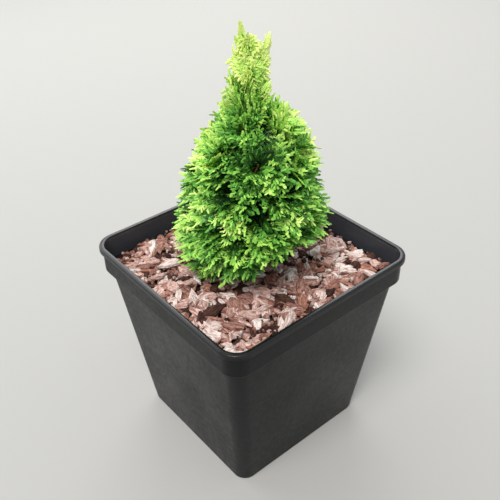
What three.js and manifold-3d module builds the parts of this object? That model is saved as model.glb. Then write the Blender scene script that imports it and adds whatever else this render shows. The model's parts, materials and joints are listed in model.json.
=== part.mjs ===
// A young thuja in a square black nursery pot, with pine bark over the soil.
// Millimetres, +Z up. The origin is the middle of the pot's flat underside, and the pot's sides face
// along X and Y. Every limb and every mass of foliage is worked out from the sizes below.
import * as THREE from "three";
import { mergeVertices } from "three/addons/utils/BufferGeometryUtils.js";
import Module from "manifold-3d";

const wasm = await Module();
wasm.setup();

// Pot
const RIM_SIDE = 180;
const POT_HEIGHT = 170;
const BASE_SIDE = 132;
const RIM_CORNER = 17;
const BASE_CORNER = 11;
const WALL = 1.8;
const FLOOR = 2.2;
const LIP_WIDTH = 2.6;
const LIP_HEIGHT = 5;
const COLLAR_HEIGHT = 24;
const LEDGE_WIDTH = 4.5;
const LEDGE_RISE = 1.5;
const EDGE = 0.8; // small bevels of the base and the lip
const CORNER_STEPS = 4;
const DRAIN_RADIUS = 5;
const DRAIN_OUT = 44;
const DRAIN_SIDES = 8;

// Bark mulch over the soil
const MULCH_DROP = 18;
const CHIP_COUNT = 24;
const CHIP_LENGTH = 17;
const CHIP_THICK = 3;
const CHIP_CORNERS = 6;
const CHIP_LENGTHS = [0.6, 1.25]; // shares of CHIP_LENGTH
const CHIP_WIDTHS = [0.45, 0.75]; // shares of the flake's own length
const CHIP_DEPTHS = [0.7, 1.2]; // shares of CHIP_THICK
const CORNER_SHIFT = 0.25; // share of the step between two corners
const MULCH_SEED = 20;
const FLAT_TILT = 7; // degrees, under the crown
const OPEN_TILT = 16; // degrees, outside it
const FOOT_ROOM = 12; // bare of large flakes round the trunk
const SKIRT_GAP = CHIP_THICK + 2; // how high the lowest sprays stay above the mulch

// Plant, measured up from the mulch
const PLANT_HEIGHT = 198;
const CROWN_RADIUS = 59;
const WIDEST_HEIGHT = 50;
const BODY_BELOW = 66;
const BODY_ABOVE = 92;
const SPIRE_RADIUS = 19;
const SPIRE_BLUNTNESS = 12;
const FULL_SIDE = 50; // degrees from +X: towards its top the crown is fuller on this side
const FULLNESS = 0.3;
const THIN_SIDE = 5; // degrees from +X: the skirt is lifted and drawn in on this side
const SKIRT_LIFT = 22;
const SKIRT_SHIFT = 0.34;
const TRUNK_RADIUS = 3.6;
const TRUNK_TIP_RADIUS = 0.8;
const TRUNK_FLARE = 2.2;
const FLARE_HEIGHT = 5;
const TRUNK_TOP = 172;
const TRUNK_LEAN = 3;
const TRUNK_SWAY = 1.4;
const SWAY_TURNS = [5, 4]; // radians from foot to tip, along X and along Y
const TRUNK_SIDES = 10;
const TRUNK_STEPS = 10;
const RING_CROWDING = 1.6; // above 1, the trunk's rings stand closer at its foot
const BOUGH_RADIUS = 1.5;
const BOUGH_TAPER = 0.4;
const BOUGH_SAG = 2.5;
const BOUGH_SIDES = 5;
const BOUGH_STEPS = 3;
const BOUGH_REACH = 0.64; // share of the way from the trunk to the mass's middle
const BOUGH_BEND = 0.55; // where it sags most, as a share of its length
const STEM_RADIUS = 0.9;
const STEM_TAPER = 0.3;
const STEM_SIDES = 3;
const STEM_REACH = 1.25; // share of the way to the mass's middle
const CLEAR = 0.35;
const CELL_MARGIN = 0.5;

// Foliage
const SPRAY_WIDTH = 0.72; // share of a spray's length
const SPRAY_THICK = 1.1;
const SPRAY_LENGTHS = [0.9, 1.15]; // shares of its tier's spray
const SPRAY_DROOP = 0.12;
const SPRAY_ROOT = 0.9;
const SPRAY_TWIST = 25; // degrees either way, about the way it grows
const TOOTH_AT = 0.5; // the first tooth, the notch and the second, as shares of the length
const NOTCH_AT = 0.52;
const SECOND_AT = 0.82;
const NOTCH_WIDTH = 0.42; // shares of half the width
const SECOND_WIDTH = 0.72;
const TEETH_APART = 0.07; // how much further back the teeth of one side stand
const SPRAY_PROUD = 3; // how far a spray's tip may stand out of the crown's outline
const GOLDEN_TURN = 137.5; // degrees from one spray to the next round its mass
const TURN_SHIFT = 12; // degrees either way
const PLAN_SEED = 7;
const ANGLE_SHIFT = 7; // degrees either way
const HEIGHT_SHIFT = 4;
const FOOT_SHIFT = [-2, 3];
const FOLIAGE_SEED = 100;
const SPRAY_SIZES = [1, 0.9, 0.8, 0.7, 0.6, 0.5, 0.42]; // tried in turn until one fits
const ROOT_DEPTH = 0.9; // where a spray leaves the core, as a share of the core's reach
const ROOT_BACK = 5; // how far back from there its root is sunk
const CORE_FILL = 0.8; // how much of its ellipsoid a faceted core fills
const UPHILL = [0.75, 0.6]; // outwards and up: the way that sprays lean on a core
const FIRST_ROOT = 0.2; // share of the stem below the first spray, where there is no core

// Tiers of the crown. Boughs leave the trunk at foot and carry a mass at middle, out being its share of
// the crown's radius there. rise is how steeply the mass grows, in degrees above level, spread how far
// its sprays open from that way, and core the mass's inner lump: outwards, round the trunk and up.
// The two highest tiers have no boughs: their stems meet the trunk.
const TIERS = [
  {
    name: "skirt", count: 6, foot: 6, middle: 19, out: 0.62, turn: 10,
    rise: 6, spread: 95, sprays: 6, spray: 24, core: [15, 19, 12], bough: true,
  },
  {
    name: "lower", count: 6, foot: 17, middle: 47, out: 0.6, turn: 40,
    rise: 12, spread: 100, sprays: 7, spray: 23, core: [16, 18, 14], bough: true,
  },
  {
    name: "middle", count: 5, foot: 38, middle: 75, out: 0.57, turn: 5,
    rise: 22, spread: 100, sprays: 7, spray: 23, core: [15, 20, 15], bough: true,
  },
  {
    name: "upper", count: 5, foot: 60, middle: 102, out: 0.54, turn: 41,
    rise: 34, spread: 100, sprays: 7, spray: 22, core: [13, 16, 15], bough: true,
  },
  {
    name: "shoulder", count: 3, foot: 90, middle: 125, out: 0.46, turn: 50,
    rise: 46, spread: 95, sprays: 7, spray: 22, core: [9, 12, 13], bough: true,
  },
  {
    name: "spire", count: 3, foot: 122, middle: 144, out: 0.46, turn: 20,
    rise: 60, spread: 70, sprays: 4, spray: 21, core: [6, 8, 12], bough: false,
  },
  {
    name: "crest", count: 2, foot: 144, middle: 164, out: 0.34, turn: 140,
    rise: 70, spread: 65, sprays: 4, spray: 20, core: [6, 12, 13], bough: false,
  },
];
const TIP = {
  name: "tip", foot: TRUNK_TOP, middle: 181,
  rise: 86, spread: 50, sprays: 5, spray: 20, core: null, bough: false,
};

const MULCH_TOP = POT_HEIGHT - MULCH_DROP;
const UP = new THREE.Vector3(0, 0, 1);
const radians = THREE.MathUtils.degToRad;

const plastic = new THREE.MeshStandardMaterial({ color: 0x1d1e21, roughness: 0.5, metalness: 0 });
const bark = new THREE.MeshStandardMaterial({ color: 0x8a6352, roughness: 0.95, metalness: 0 });
const wood = new THREE.MeshStandardMaterial({ color: 0x6b4632, roughness: 0.9, metalness: 0 });
const leaf = new THREE.MeshStandardMaterial({ color: 0x5f9a36, roughness: 0.6, metalness: 0 });

// The same run of numbers from 0 to 1 for the same seed.
function dice(seed) {
  let state = seed >>> 0;
  return function roll(low = 0, high = 1) {
    state = (Math.imul(state, 1664525) + 1013904223) >>> 0;
    return low + (high - low) * (state / 4294967296);
  };
}

// A closed mesh from three.js as a manifold-3d solid.
function solidOf(geometry) {
  const bare = geometry.clone();
  bare.deleteAttribute("normal");
  bare.deleteAttribute("uv");
  const merged = mergeVertices(bare, 1e-4);
  return new wasm.Manifold(
    new wasm.Mesh({
      numProp: 3,
      vertProperties: new Float32Array(merged.attributes.position.array),
      triVerts: new Uint32Array(merged.index.array),
    }),
  );
}

function geometryOf(solid) {
  const mesh = solid.getMesh();
  return new THREE.BufferGeometry()
    .setAttribute("position", new THREE.BufferAttribute(mesh.vertProperties, 3))
    .setIndex(new THREE.BufferAttribute(mesh.triVerts, 1));
}

// The largest of a solid's separate bodies: loose scraps and sealed hollows are left behind.
function wholeBody(solid) {
  return solid.decompose().reduce((best, body) => (body.volume() > best.volume() ? body : best));
}

// A closed mesh through rings of points, each ring turning the same way round its path.
function loft(rings) {
  const size = rings[0].length;
  const positions = rings.flat().flatMap((p) => [p.x, p.y, p.z]);
  const faces = [];
  for (let i = 0; i + 1 < rings.length; i++) {
    for (let j = 0; j < size; j++) {
      const a = i * size + j;
      const b = i * size + ((j + 1) % size);
      faces.push(a, b, b + size, a, b + size, a + size);
    }
  }
  const last = (rings.length - 1) * size;
  for (let j = 1; j + 1 < size; j++) {
    faces.push(0, j + 1, j, last, last + j, last + j + 1);
  }
  return new THREE.BufferGeometry()
    .setAttribute("position", new THREE.Float32BufferAttribute(positions, 3))
    .setIndex(faces);
}

// A square with round corners at height z, as a ring of points.
function roundedSquare(half, corner, z) {
  const ring = [];
  for (let quarter = 0; quarter < 4; quarter++) {
    for (let step = 0; step <= CORNER_STEPS; step++) {
      const angle = (quarter + step / CORNER_STEPS) * (Math.PI / 2);
      const [sx, sy] = [[1, 1], [-1, 1], [-1, -1], [1, -1]][quarter];
      ring.push(
        new THREE.Vector3(
          sx * (half - corner) + corner * Math.cos(angle),
          sy * (half - corner) + corner * Math.sin(angle),
          z,
        ),
      );
    }
  }
  return ring;
}

// Half the pot's outside width and its corner radius at height z, on the body below the collar.
const COLLAR_FOOT = POT_HEIGHT - COLLAR_HEIGHT;
const COLLAR_HALF = RIM_SIDE / 2 - LIP_WIDTH;
const BODY_TOP_HALF = COLLAR_HALF - LEDGE_WIDTH;
const COLLAR_CORNER = RIM_CORNER - LIP_WIDTH;
const BODY_TOP_CORNER = COLLAR_CORNER - LEDGE_WIDTH / 2;

function bodyRing(inset, z) {
  const share = z / COLLAR_FOOT;
  const half = THREE.MathUtils.lerp(BASE_SIDE / 2, BODY_TOP_HALF, share);
  const corner = THREE.MathUtils.lerp(BASE_CORNER, BODY_TOP_CORNER, share);
  return roundedSquare(half - inset, corner - inset, z);
}

function collarRing(inset, z) {
  return roundedSquare(COLLAR_HALF - inset, COLLAR_CORNER - inset, z);
}

function drainHole(x, y) {
  const drill = new THREE.CylinderGeometry(DRAIN_RADIUS, DRAIN_RADIUS, 4 * FLOOR, DRAIN_SIDES);
  drill.rotateX(Math.PI / 2);
  drill.translate(x, y, 0);
  return solidOf(drill);
}

// The shell: flat floor, tapering body, a ledge out to the collar, and a rolled lip.
function potSolid() {
  const lipHalf = RIM_SIDE / 2;
  const rings = [
    bodyRing(EDGE, 0),
    bodyRing(0, 2 * EDGE),
    bodyRing(0, COLLAR_FOOT),
    collarRing(0, COLLAR_FOOT + LEDGE_RISE),
    collarRing(0, POT_HEIGHT - LIP_HEIGHT),
    roundedSquare(lipHalf, RIM_CORNER, POT_HEIGHT - LIP_HEIGHT + EDGE),
    roundedSquare(lipHalf, RIM_CORNER, POT_HEIGHT - EDGE),
    roundedSquare(lipHalf - EDGE, RIM_CORNER - EDGE, POT_HEIGHT),
    collarRing(WALL - EDGE, POT_HEIGHT),
    collarRing(WALL, POT_HEIGHT - EDGE),
    collarRing(WALL, COLLAR_FOOT + LEDGE_RISE + WALL),
    bodyRing(WALL, COLLAR_FOOT),
    bodyRing(WALL, FLOOR),
  ];
  let shell = solidOf(loft(rings));
  for (const x of [-DRAIN_OUT, 0, DRAIN_OUT]) {
    for (const y of [-DRAIN_OUT, 0, DRAIN_OUT]) {
      if (x || y) shell = shell.subtract(drainHole(x, y));
    }
  }
  return shell;
}

// A flake of bark: a flat piece with an uneven outline, on its own middle.
function chipGeometry(roll) {
  const length = CHIP_LENGTH * roll(...CHIP_LENGTHS);
  const width = length * roll(...CHIP_WIDTHS);
  const outline = [];
  for (let i = 0; i < CHIP_CORNERS; i++) {
    const angle = ((i + roll(-CORNER_SHIFT, CORNER_SHIFT)) / CHIP_CORNERS) * 2 * Math.PI;
    outline.push(
      new THREE.Vector2((length / 2) * Math.cos(angle), (width / 2) * Math.sin(angle)),
    );
  }
  const depth = CHIP_THICK * roll(...CHIP_DEPTHS);
  const flake = new THREE.ExtrudeGeometry(new THREE.Shape(outline), { depth, bevelEnabled: false });
  return flake.translate(0, 0, -depth / 2);
}

// Soil and bark fill the pot to the mulch's level, with the larger flakes standing out of the top.
function mulchSolid() {
  const inset = WALL + CLEAR;
  const ledge = COLLAR_FOOT + LEDGE_RISE + WALL + CLEAR;
  const rings = [
    bodyRing(inset, FLOOR + CLEAR),
    bodyRing(inset, COLLAR_FOOT),
    collarRing(inset, ledge),
    collarRing(inset, MULCH_TOP),
  ];
  const roll = dice(MULCH_SEED);
  const reach = COLLAR_HALF - inset - (CHIP_LENGTH * CHIP_LENGTHS[1]) / 2;
  const pieces = [solidOf(loft(rings))];
  while (pieces.length <= CHIP_COUNT) {
    const x = roll(-reach, reach);
    const y = roll(-reach, reach);
    const fromTrunk = Math.hypot(x, y);
    const flake = chipGeometry(roll);
    const tilt = fromTrunk > CROWN_RADIUS ? OPEN_TILT : FLAT_TILT;
    flake.rotateX(radians(roll(-tilt, tilt)));
    flake.rotateY(radians(roll(-tilt, tilt)));
    flake.rotateZ(roll(0, Math.PI));
    flake.translate(x, y, MULCH_TOP + CHIP_THICK / 4);
    if (fromTrunk > FOOT_ROOM + CHIP_LENGTH / 2) pieces.push(solidOf(flake));
  }
  return wholeBody(wasm.Manifold.union(pieces));
}

// The crown's radius at height h above the mulch, on the side that angle names.
function crownRadius(h, angle) {
  const below = h < WIDEST_HEIGHT ? BODY_BELOW : BODY_ABOVE;
  const body = CROWN_RADIUS * Math.sqrt(Math.max(0, 1 - ((h - WIDEST_HEIGHT) / below) ** 2));
  const spire = SPIRE_RADIUS * (1 - Math.min(1, h / (PLANT_HEIGHT + 2)) ** SPIRE_BLUNTNESS);
  const fuller = FULLNESS * (h / PLANT_HEIGHT) * Math.cos(angle - radians(FULL_SIDE));
  const low = Math.max(0, 1 - h / WIDEST_HEIGHT);
  const thinner = SKIRT_SHIFT * low * Math.cos(angle - radians(THIN_SIDE));
  return Math.max(body * (1 + fuller - thinner), spire);
}

// The trunk's middle and radius at height h above the mulch. It sways a little on its way up.
function trunkAt(h) {
  const share = h / TRUNK_TOP;
  return {
    point: new THREE.Vector3(
      TRUNK_LEAN * share - TRUNK_SWAY * Math.sin(SWAY_TURNS[0] * share),
      TRUNK_SWAY * Math.sin(SWAY_TURNS[1] * share),
      MULCH_TOP + CLEAR + h,
    ),
    radius:
      THREE.MathUtils.lerp(TRUNK_RADIUS, TRUNK_TIP_RADIUS, share) +
      TRUNK_FLARE * Math.exp(-h / FLARE_HEIGHT),
  };
}

// No limb grows near this way, so every section of a limb can be measured from it.
const SIDEWAYS = new THREE.Vector3(0.31, 0.95, 0.02);

// A limb of round section along a path, with the radius that each of its points names.
function limb(points, radii, sides) {
  const rings = points.map((point, i) => {
    const ahead = points[Math.min(i + 1, points.length - 1)];
    const behind = points[Math.max(i - 1, 0)];
    const along = ahead.clone().sub(behind).normalize();
    const across = SIDEWAYS.clone().cross(along).normalize();
    const over = along.clone().cross(across);
    return Array.from({ length: sides }, (_, j) => {
      const angle = (j / sides) * 2 * Math.PI;
      return point
        .clone()
        .addScaledVector(across, radii[i] * Math.cos(angle))
        .addScaledVector(over, radii[i] * Math.sin(angle));
    });
  });
  return solidOf(loft(rings));
}

// The trunk's rings are level, so that its foot is a flat cut, and closer together at the flare.
function trunkSolid(extra = 0) {
  const rings = Array.from({ length: TRUNK_STEPS + 1 }, (_, i) => {
    const { point, radius } = trunkAt(TRUNK_TOP * (i / TRUNK_STEPS) ** RING_CROWDING);
    return Array.from({ length: TRUNK_SIDES }, (_, j) => {
      const angle = (j / TRUNK_SIDES) * 2 * Math.PI;
      return new THREE.Vector3(
        point.x + (radius + extra) * Math.cos(angle),
        point.y + (radius + extra) * Math.sin(angle),
        point.z,
      );
    });
  });
  return solidOf(loft(rings));
}

// Where each mass sits, and the bough that carries it.
function plan() {
  const found = [];
  const roll = dice(PLAN_SEED);
  for (const tier of TIERS) {
    for (let i = 0; i < tier.count; i++) {
      const turned = roll(-ANGLE_SHIFT, ANGLE_SHIFT);
      const angle = radians(tier.turn + (360 / tier.count) * i + turned);
      const thin = Math.max(0, Math.cos(angle - radians(THIN_SIDE)));
      const lift = tier.name === "skirt" ? SKIRT_LIFT * thin : 0;
      const h = tier.middle + lift + roll(-HEIGHT_SHIFT, HEIGHT_SHIFT);
      const foot = tier.foot + roll(...FOOT_SHIFT);
      const axis = trunkAt(h).point;
      const out = new THREE.Vector3(Math.cos(angle), Math.sin(angle), 0);
      const centre = axis.clone().addScaledVector(out, tier.out * crownRadius(h, angle));
      found.push({ ...tier, number: i + 1, angle, out, centre, foot });
    }
  }
  const centre = trunkAt(TRUNK_TOP).point;
  centre.z = MULCH_TOP + TIP.middle;
  found.push({ ...TIP, number: 1, angle: 0, out: new THREE.Vector3(1, 0, 0), centre });
  return found;
}

// Where a limb leaves the trunk, on the side of the mass that it carries.
function offTrunk(mass) {
  const { point, radius } = trunkAt(mass.foot);
  return point.addScaledVector(mass.out, radius + 2 * CLEAR);
}

// The bough's path sags a little on its way to the near side of its mass.
function boughPath(mass) {
  const start = offTrunk(mass);
  const end = start.clone().lerp(mass.centre, BOUGH_REACH);
  const bend = start.clone().lerp(end, BOUGH_BEND).addScaledVector(UP, -BOUGH_SAG);
  return new THREE.QuadraticBezierCurve3(start, bend, end);
}

// A bough, thinner the higher it grows, before its foot is cut to the trunk.
function boughSolid(mass, extra = 0) {
  const thick = BOUGH_RADIUS * (1 - mass.foot / (3 * PLANT_HEIGHT));
  const points = boughPath(mass).getPoints(BOUGH_STEPS);
  const radii = points.map((_, i) => thick * (1 - (BOUGH_TAPER * i) / BOUGH_STEPS) + extra);
  return limb(points, radii, BOUGH_SIDES);
}

// Where a mass's stem starts: just clear of its bough's tip, of the trunk's top or of its side.
function stemStart(mass) {
  if (mass.bough) {
    const path = boughPath(mass);
    return path.getPoint(1).addScaledVector(path.getTangent(1), CLEAR);
  }
  if (mass.foot === TRUNK_TOP) return trunkAt(TRUNK_TOP).point.addScaledVector(UP, CLEAR);
  return offTrunk(mass).addScaledVector(mass.out, STEM_RADIUS);
}

// The stem that a mass's core and sprays grow from.
function stemOf(mass, extra = 0) {
  const start = stemStart(mass);
  const points = [start, start.clone().lerp(mass.centre, STEM_REACH)];
  const radii = [STEM_RADIUS + extra, STEM_RADIUS * (1 - STEM_TAPER) + extra];
  return { points, solid: limb(points, radii, STEM_SIDES) };
}

// A flat spray, toothed on both edges, lying along +X with its face up, its root at the origin.
function sprayGeometry(length) {
  const half = (length * SPRAY_WIDTH) / 2;
  const side = (sign, back) => [
    new THREE.Vector2(0, sign * SPRAY_ROOT),
    new THREE.Vector2(length * (TOOTH_AT - back), sign * half),
    new THREE.Vector2(length * (NOTCH_AT - back), sign * half * NOTCH_WIDTH),
    new THREE.Vector2(length * (SECOND_AT - back), sign * half * SECOND_WIDTH),
  ];
  const outline = [
    ...side(-1, 0),
    new THREE.Vector2(length, 0),
    ...side(1, TEETH_APART).reverse(),
  ];
  const blade = new THREE.ExtrudeGeometry(new THREE.Shape(outline), {
    depth: SPRAY_THICK,
    bevelEnabled: false,
  });
  blade.translate(0, 0, -SPRAY_THICK / 2);
  const place = blade.attributes.position;
  for (let i = 0; i < place.count; i++) {
    const x = place.getX(i);
    place.setZ(i, place.getZ(i) - SPRAY_DROOP * length * (x / length) ** 2);
  }
  return blade;
}

// Turns a spray so that it grows along one way with its face towards another, from a root.
function placed(geometry, root, along, face) {
  const over = face.clone().addScaledVector(along, -face.dot(along)).normalize();
  const across = over.clone().cross(along);
  const turn = new THREE.Matrix4().makeBasis(along, across, over).setPosition(root);
  return geometry.applyMatrix4(turn);
}

// The planes round a mass's own space, half way to each of the others: facing out, how far out.
function wallsOf(mass, masses) {
  return masses
    .filter((other) => other !== mass)
    .map((other) => {
      const way = other.centre.clone().sub(mass.centre);
      const apart = way.length();
      way.normalize();
      return { way, limit: mass.centre.dot(way) + apart / 2 - CELL_MARGIN };
    });
}

// Whether every corner of a geometry lies between the mass's walls and inside the crown.
function insideSpace(geometry, walls) {
  const place = geometry.attributes.position;
  const point = new THREE.Vector3();
  for (let i = 0; i < place.count; i++) {
    point.fromBufferAttribute(place, i);
    const h = point.z - MULCH_TOP;
    if (h < SKIRT_GAP || h > PLANT_HEIGHT) return false;
    const reach = crownRadius(h, Math.atan2(point.y, point.x)) + SPRAY_PROUD;
    if (Math.hypot(point.x, point.y) > reach) return false;
    if (walls.some(({ way, limit }) => point.dot(way) > limit)) return false;
  }
  return true;
}

// The three ways that a mass is measured in: how it grows, round the trunk, and over both.
function waysOf(mass) {
  const rise = radians(mass.rise);
  const growth = mass.out.clone().multiplyScalar(Math.cos(rise)).addScaledVector(UP, Math.sin(rise));
  const across = UP.clone().cross(mass.out);
  return { growth, across, over: growth.clone().cross(across) };
}

// How far the core reaches from its middle along a way.
function coreReach(mass, way) {
  const [out, round, up] = mass.core;
  const across = UP.clone().cross(mass.out);
  return CORE_FILL / Math.hypot(way.dot(mass.out) / out, way.dot(across) / round, way.z / up);
}

// The core of a dense mass: one lump, trimmed to its own space, clear of limbs and others' stems.
function coreSolid(mass, walls, limbs, stems) {
  const lump = new THREE.IcosahedronGeometry(1, 0).scale(...mass.core);
  lump.rotateZ(mass.angle);
  lump.translate(...mass.centre.toArray());
  let core = solidOf(lump).trimByPlane(UP.toArray(), MULCH_TOP + SKIRT_GAP);
  for (const { way, limit } of walls) {
    core = core.trimByPlane(way.clone().negate().toArray(), -limit);
  }
  for (const [other, stem] of stems) {
    if (other !== mass) core = core.subtract(stem.grown);
  }
  return wholeBody(core.subtract(limbs));
}

// Where the k-th spray of a mass stands: its root, the way it grows and the way its face looks.
// Sprays of a cored mass lie round the core like scales, and the others stand up round the stem.
function stance(mass, stem, k, roll) {
  const { growth, across, over } = waysOf(mass);
  const turn = radians(GOLDEN_TURN * k + roll(-TURN_SHIFT, TURN_SHIFT));
  const cap = 1 - Math.cos(radians(mass.spread));
  const open = Math.acos(1 - (cap * (k + 0.4)) / mass.sprays);
  const normal = growth
    .clone()
    .multiplyScalar(Math.cos(open))
    .addScaledVector(across, Math.sin(open) * Math.cos(turn))
    .addScaledVector(over, Math.sin(open) * Math.sin(turn));
  if (!mass.core) {
    const share = THREE.MathUtils.lerp(1, FIRST_ROOT, k / mass.sprays);
    const root = stem.points[0].clone().lerp(stem.points[1], share);
    return { root, way: normal, face: mass.out.clone() };
  }
  const uphill = mass.out.clone().multiplyScalar(UPHILL[0]).addScaledVector(UP, UPHILL[1]);
  uphill.addScaledVector(normal, -uphill.dot(normal)).normalize();
  const way = normal.clone().add(uphill).normalize();
  const root = mass.centre
    .clone()
    .addScaledVector(normal, ROOT_DEPTH * coreReach(mass, normal))
    .addScaledVector(way, -ROOT_BACK);
  return { root, way, face: normal };
}

// A mass: its stem, its core, and every spray that fits its space and touches no limb.
function massSolid(mass, walls, limbs, stems, seed) {
  const roll = dice(seed);
  const stem = stems.get(mass);
  const pieces = [stem.own];
  if (mass.core) pieces.push(coreSolid(mass, walls, limbs, stems));
  for (let k = 0; k < mass.sprays; k++) {
    const { root, way, face } = stance(mass, stem, k, roll);
    face.applyAxisAngle(way, radians(roll(-SPRAY_TWIST, SPRAY_TWIST)));
    const full = mass.spray * roll(...SPRAY_LENGTHS);
    for (const size of SPRAY_SIZES) {
      const blade = placed(sprayGeometry(full * size), root, way, face);
      if (!insideSpace(blade, walls)) continue;
      const solid = solidOf(blade);
      const touches = [...stems].some(
        ([other, theirs]) => other !== mass && !theirs.grown.intersect(solid).isEmpty(),
      );
      if (touches || !limbs.intersect(solid).isEmpty()) continue;
      pieces.push(solid);
      break;
    }
  }
  return wholeBody(wasm.Manifold.union(pieces));
}

const part = new THREE.Group();

function add(name, solid, material) {
  const mesh = new THREE.Mesh(geometryOf(solid), material.clone());
  mesh.name = name;
  part.add(mesh);
}

const masses = plan();
const carried = masses.filter((mass) => mass.bough);
const trunkRoom = trunkSolid(CLEAR);
const limbs = wasm.Manifold.union([trunkRoom, ...carried.map((mass) => boughSolid(mass, CLEAR))]);
const stems = new Map(
  masses.map((mass) => {
    const { points, solid } = stemOf(mass);
    return [mass, { points, own: solid, grown: stemOf(mass, CLEAR).solid }];
  }),
);

add("pot", potSolid(), plastic);
add("bark_mulch", mulchSolid(), bark);
add("trunk", trunkSolid(), wood);
for (const mass of carried) {
  const bough = boughSolid(mass).subtract(trunkRoom);
  add(`bough_${mass.name}_${mass.number}`, wholeBody(bough), wood);
}
masses.forEach((mass, i) => {
  const foliage = massSolid(mass, wallsOf(mass, masses), limbs, stems, FOLIAGE_SEED + i);
  add(`foliage_${mass.name}_${mass.number}`, foliage, leaf);
});

export default part;
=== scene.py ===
# A young thuja in a square black nursery pot, with pine bark over the soil.
# Plans are worked out in millimetres and meshes are made in metres, +Z up, with the origin in the
# middle of the pot's flat underside. The crown follows the rule that its solids follow: trunk,
# boughs and masses come from the same rolls of the numbers. The sprays are finer and roll their own,
# from a start that leaves few holes in the crown.
import json
import math

import bpy
import numpy as np
from mathutils import Matrix, Vector, noise

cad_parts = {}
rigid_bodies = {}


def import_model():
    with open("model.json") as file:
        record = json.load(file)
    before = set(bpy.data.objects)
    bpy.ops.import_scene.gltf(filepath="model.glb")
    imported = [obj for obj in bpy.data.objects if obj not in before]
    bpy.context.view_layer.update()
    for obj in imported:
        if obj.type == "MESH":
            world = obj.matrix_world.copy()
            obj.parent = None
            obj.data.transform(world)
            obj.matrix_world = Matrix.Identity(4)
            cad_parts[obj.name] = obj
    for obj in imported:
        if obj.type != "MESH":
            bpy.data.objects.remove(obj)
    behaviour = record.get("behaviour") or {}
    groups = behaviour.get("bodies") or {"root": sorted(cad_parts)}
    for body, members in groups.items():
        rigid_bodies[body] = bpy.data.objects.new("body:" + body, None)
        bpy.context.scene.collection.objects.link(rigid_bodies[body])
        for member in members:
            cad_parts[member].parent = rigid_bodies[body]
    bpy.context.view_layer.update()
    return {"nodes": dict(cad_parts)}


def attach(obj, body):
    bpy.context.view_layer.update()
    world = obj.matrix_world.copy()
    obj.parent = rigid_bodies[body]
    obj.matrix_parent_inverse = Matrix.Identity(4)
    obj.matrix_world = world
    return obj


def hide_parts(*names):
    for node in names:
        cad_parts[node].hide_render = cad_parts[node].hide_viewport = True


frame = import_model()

MM = 0.001
NODES = sorted(frame["nodes"])

# Pot, in the sizes of its solid
RIM_SIDE = 180
POT_HEIGHT = 170
BASE_SIDE = 132
BASE_CORNER = 11
WALL = 1.8
FLOOR = 2.2
LIP_WIDTH = 2.6
LIP_HEIGHT = 5
COLLAR_HEIGHT = 24
LEDGE_WIDTH = 4.5
LEDGE_RISE = 1.5
RIM_CORNER = 17
DRAIN_RADIUS = 5
DRAIN_OUT = 44
DRAIN_SIDES = 24
COLLAR_FOOT = POT_HEIGHT - COLLAR_HEIGHT
COLLAR_HALF = RIM_SIDE / 2 - LIP_WIDTH
BODY_TOP_HALF = COLLAR_HALF - LEDGE_WIDTH
COLLAR_CENTRE = RIM_SIDE / 2 - RIM_CORNER  # where the round corners are centred, out from the middle
BASE_CENTRE = BASE_SIDE / 2 - BASE_CORNER
BODY_TOP_CENTRE = BODY_TOP_HALF - (RIM_CORNER - LIP_WIDTH - LEDGE_WIDTH / 2)
MULCH_TOP = POT_HEIGHT - 18
LIP_SPAN = ((POT_HEIGHT - 4) * MM, (POT_HEIGHT - 1) * MM)  # where the plastic turns smoother

# Plant, measured up from the mulch
PLANT_HEIGHT = 198
CROWN_RADIUS = 59
WIDEST_HEIGHT = 50
BODY_BELOW = 66
BODY_ABOVE = 92
SPIRE_RADIUS = 19
SPIRE_BLUNTNESS = 8
SPIRE_ABOVE = 2  # how far above the plant the spire's radius comes to nothing
FULL_SIDE = math.radians(50)
FULLNESS = 0.3
THIN_SIDE = math.radians(5)
SKIRT_LIFT = 22
SKIRT_SHIFT = 0.34
SKIRT_GAP = 5
TRUNK_RADIUS = 3.6
TRUNK_TIP_RADIUS = 0.8
TRUNK_FLARE = 2.2
FLARE_HEIGHT = 5
TRUNK_TOP = 172
TRUNK_LEAN = 3
TRUNK_SWAY = 1.4
SWAY_TURNS = (5, 4)
BOUGH_RADIUS = 1.5
BOUGH_TAPER = 0.4
BOUGH_SAG = 2.5
BOUGH_REACH = 0.64
BOUGH_BEND = 0.55
STEM_RADIUS = 0.9
STEM_TAPER = 0.3
STEM_REACH = 1.25
STEM_STEPS = 4
CLEAR = 0.35

# Foliage: the tiers of the crown, and the rule by which sprays stand on a mass
PLAN_SEED = 7
ANGLE_SHIFT = 7
HEIGHT_SHIFT = 4
FOOT_SHIFT = (-2, 3)
FOLIAGE_SEED = 4360
GOLDEN_TURN = 137.5
TURN_SHIFT = 12
SPRAY_LENGTHS = (0.9, 1.15)
SPRAY_SIZES = (1, 0.9, 0.8, 0.7, 0.6, 0.5, 0.42)
ROOT_BACK = 5  # how far back from its place a spray is rooted
CORE_FILL = 0.8  # of a core's half sizes
FIRST_ROOT = 0.2  # the lowest root on the tip's stem, as a share of it
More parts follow.
